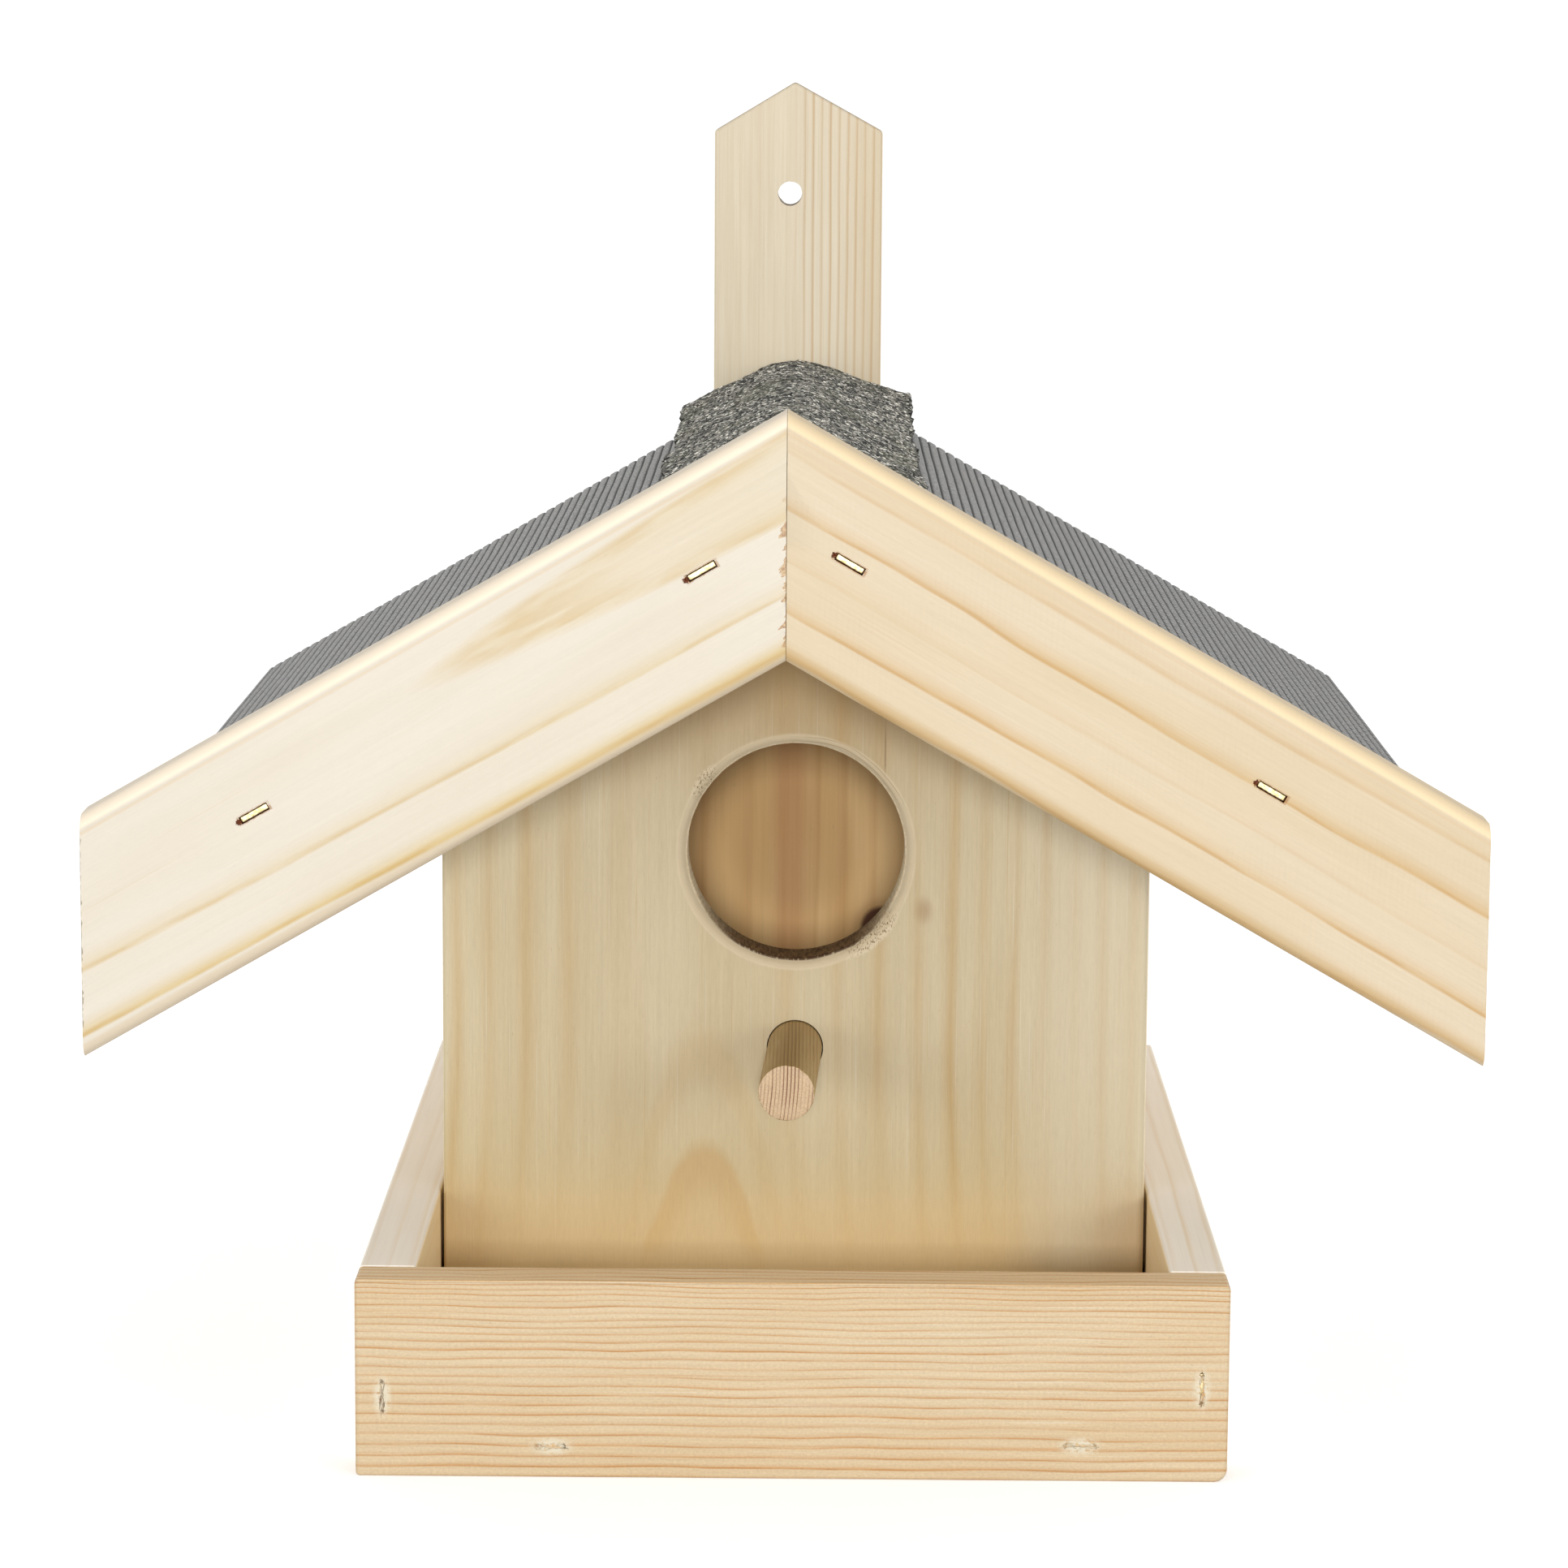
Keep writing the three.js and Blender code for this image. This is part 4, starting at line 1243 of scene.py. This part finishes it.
def make_roof_felt(side):
    word = HAND[side]
    points = felt_path()
    run = felt_run()
    across = round(run / RIB_PITCH * 7)
    depth = BACK_Y - ROOF_FRONT_Y
    bpy.ops.object.select_all(action="DESELECT")
    bpy.ops.mesh.primitive_grid_add(x_subdivisions=across, y_subdivisions=64, size=1)
    sheet = bpy.context.object
    places = {}
    for vert in sheet.data.vertices:
        distance = (vert.co.x + 0.5) * run
        back = (vert.co.y + 0.5) * depth
        key = round(distance, 3)
        if key not in places:
            places[key] = walk(points, distance)
        place, out = places[key]
        part = distance / RIB_PITCH % 1
        groove = max(0.0, abs(part - 0.5) * 2 - 0.62) / 0.38
        sink = 0.42 * groove ** 1.3 + 0.05
        sink += 0.05 * noise.noise(Vector((distance * 0.3, back * 0.05, side)))
        place = place - out * sink
        x, z = on_slope(side, place.x, place.y)
        sway = 0.12 * noise.noise(Vector((distance * 0.05, back * 0.03, 5 + side)))
        if 2 < distance < run - 2:
            x += sway
        vert.co = mm(x, ROOF_FRONT_Y + back, z)
    settle(sheet, f"roof_felt_{word}_sheet")
    if side < 0:
        with editing_all(sheet):
            bpy.ops.mesh.flip_normals()
    trim = MITRE_GAP / 2
    for vert in sheet.data.vertices:
        if side * vert.co.x * 1000 < trim:
            vert.co.x = side * trim / 1000
    wall = sheet.modifiers.new("thickness", "SOLIDIFY")
    wall.thickness = (FELT_THICKNESS - 0.1) / 1000
    wall.offset = -1
    apply_modifier(sheet, wall)
    return fit(sheet, "ribbed_felt", ribbed_felt(side), f"roof_felt_{word}")


# Where each torn step of the ridge strip's long edges starts, and the strip's reach from there.
STRIP_STEPS = {
    -1: [(-113, 24.0), (-44, 24.7), (-14, 23.1), (11, 23.9), (56, 23.0), (63, 24.2), (80, 24.5)],
    1: [(-113, 22.2), (-60, 21.4), (-30, 21.9), (5, 21.1), (38, 22.3), (64, 21.7), (74, 22.8)],
}


def strip_edge(side, y):
    """The reach of the ridge strip to one side, at a place along the ridge."""
    reach = next(reach for start, reach in reversed(STRIP_STEPS[side]) if y >= start)
    reach += 0.7 * noise.noise(Vector((y * 0.35, side * 9, 1)))
    return reach + 0.5 * noise.noise(Vector((y * 1.4, side * 5, 2)))


def strip_top(x, y):
    """The height of the ridge strip above the ridge line: it bridges the ridge and lifts."""
    away = abs(x + 1.5)
    lift = max(0.0, (y - 52) / 48) if x > 0 else 0.0
    slope = 0.5 - (0.03 if x > 0 else 0.0) - 0.08 * lift
    fall = math.hypot(slope * away, 2.0) - 2.0
    curl = lift * 0.011 * max(0.0, away - 16) ** 2
    return 1.25 - fall + curl


def make_ridge_strip():
    low, high = box_mm("ridge_felt")
    depth = high.y - low.y
    bpy.ops.object.select_all(action="DESELECT")
    bpy.ops.mesh.primitive_grid_add(x_subdivisions=84, y_subdivisions=370, size=1)
    strip = bpy.context.object
    dice = random.Random(12)
    for vert in strip.data.vertices:
        side = -1 if vert.co.x < 0 else 1
        y = low.y + (vert.co.y + 0.5) * depth
        x = vert.co.x * 2 * strip_edge(side, y)
        if abs(vert.co.y) < 0.499:
            y += dice.uniform(-0.12, 0.12)
        else:
            y -= 0.5 * (1 if vert.co.y > 0 else -1) * abs(noise.noise(Vector((x * 0.5, 0, 4))))
        grit = dice.uniform(-0.2, 0.12)
        swell = 0.35 * noise.noise(Vector((x * 0.2, y * 0.06, 3)))
        vert.co = mm(x, y, RIDGE_Z + strip_top(x, y) + grit + swell)
    settle(strip, "ridge_felt_strip")
    wall = strip.modifiers.new("thickness", "SOLIDIFY")
    wall.thickness = 1.7 / 1000
    wall.offset = -1
    apply_modifier(strip, wall)
    return fit(strip, "mineral_felt", mineral_felt(), "ridge_felt")


# ---- Staples ----


def make_staples():
    wire = brass_wire()
    for node in sorted(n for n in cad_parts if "staple" in n):
        staple = copy_of(node, f"{node}_wire")
        ease(staple, 0.3, 3)
        if "tray_front" in node:
            for vert in staple.data.vertices:
                vert.co.y += STAPLE_SUNK / 1000
        fit(staple, "staple_wire", wire, node)


# ---- Studio ----


def make_floor():
    """White paper underfoot and all round, far off, softly lit from within."""
    bpy.ops.object.select_all(action="DESELECT")
    bpy.ops.mesh.primitive_cylinder_add(vertices=96, radius=20, depth=7, location=(0, 0, 3.5))
    floor = settle(bpy.context.object, "studio_floor")
    begin_edit(floor, "FACE")
    for face in floor.data.polygons:
        face.select = face.normal.z > 0.9
    with editing():
        bpy.ops.mesh.delete(type="FACE")
        bpy.ops.mesh.select_all(action="SELECT")
        bpy.ops.mesh.flip_normals()
    recipe = Recipe("floor_paper")
    mottle = recipe.noise(recipe.placed((0, 0, 0)), (60, 60, 60), 1, 2.0)
    colour = recipe.blend(mottle, paint(231, 231, 230), paint(235, 235, 235))
    floor.data.materials.append(recipe.finish(colour, 0.9, specular=0.1, glow=FLOOR_GLOW))


def add_softbox(name, place, size, power, aim=(0.0, -0.05, 0.12)):
    light = bpy.data.lights.new(name, "AREA")
    light.shape = "SQUARE"
    light.size = size
    light.energy = power
    lamp = bpy.data.objects.new(name, light)
    bpy.context.scene.collection.objects.link(lamp)
    lamp.location = place
    lamp.rotation_euler = (Vector(aim) - Vector(place)).to_track_quat("-Z", "Y").to_euler()


def light_studio():
    world = bpy.data.worlds.new("white_tent")
    world.use_nodes = True
    bpy.context.scene.world = world
    background = world.node_tree.nodes["Background"]
    background.inputs[0].default_value = (1, 1, 1, 1)
    background.inputs[1].default_value = TENT_GLOW
    add_softbox("softbox_front", (0.0, -2.6, 0.55), 0.22, 38)
    add_softbox("softbox_right", (1.7, -2.0, 0.6), 0.8, 15)
    add_softbox("softbox_left", (-1.7, -2.0, 0.5), 0.8, 12)
    bpy.context.scene.view_settings.view_transform = "Standard"
    bpy.context.scene.view_settings.look = "None"


def place_camera():
    lens = bpy.data.cameras.new("camera")
    lens.sensor_width = 36
    lens.lens = LENS
    lens.clip_start = 0.01
    lens.clip_end = 100
    camera = bpy.data.objects.new("camera", lens)
    bpy.context.scene.collection.objects.link(camera)
    camera.matrix_world = (
        Matrix.Translation((0.00217, -0.91544, 0.25099))
        @ Matrix.Rotation(math.radians(0.292), 4, "Z")
        @ Matrix.Rotation(math.radians(90 - 8.979), 4, "X")
        @ Matrix.Rotation(math.radians(0.366), 4, "Z"))
    bpy.context.scene.camera = camera


make_front_panel()
make_perch()
make_rear_wall()
make_tray_base()
make_tray_front()
make_batten()
for side in (-1, 1):
    make_side_wall(side)
    make_tray_side(side)
    make_roof_board(side)
    make_roof_felt(side)
    make_gable_board(side)
make_ridge_strip()
make_staples()
make_floor()
light_studio()
place_camera()
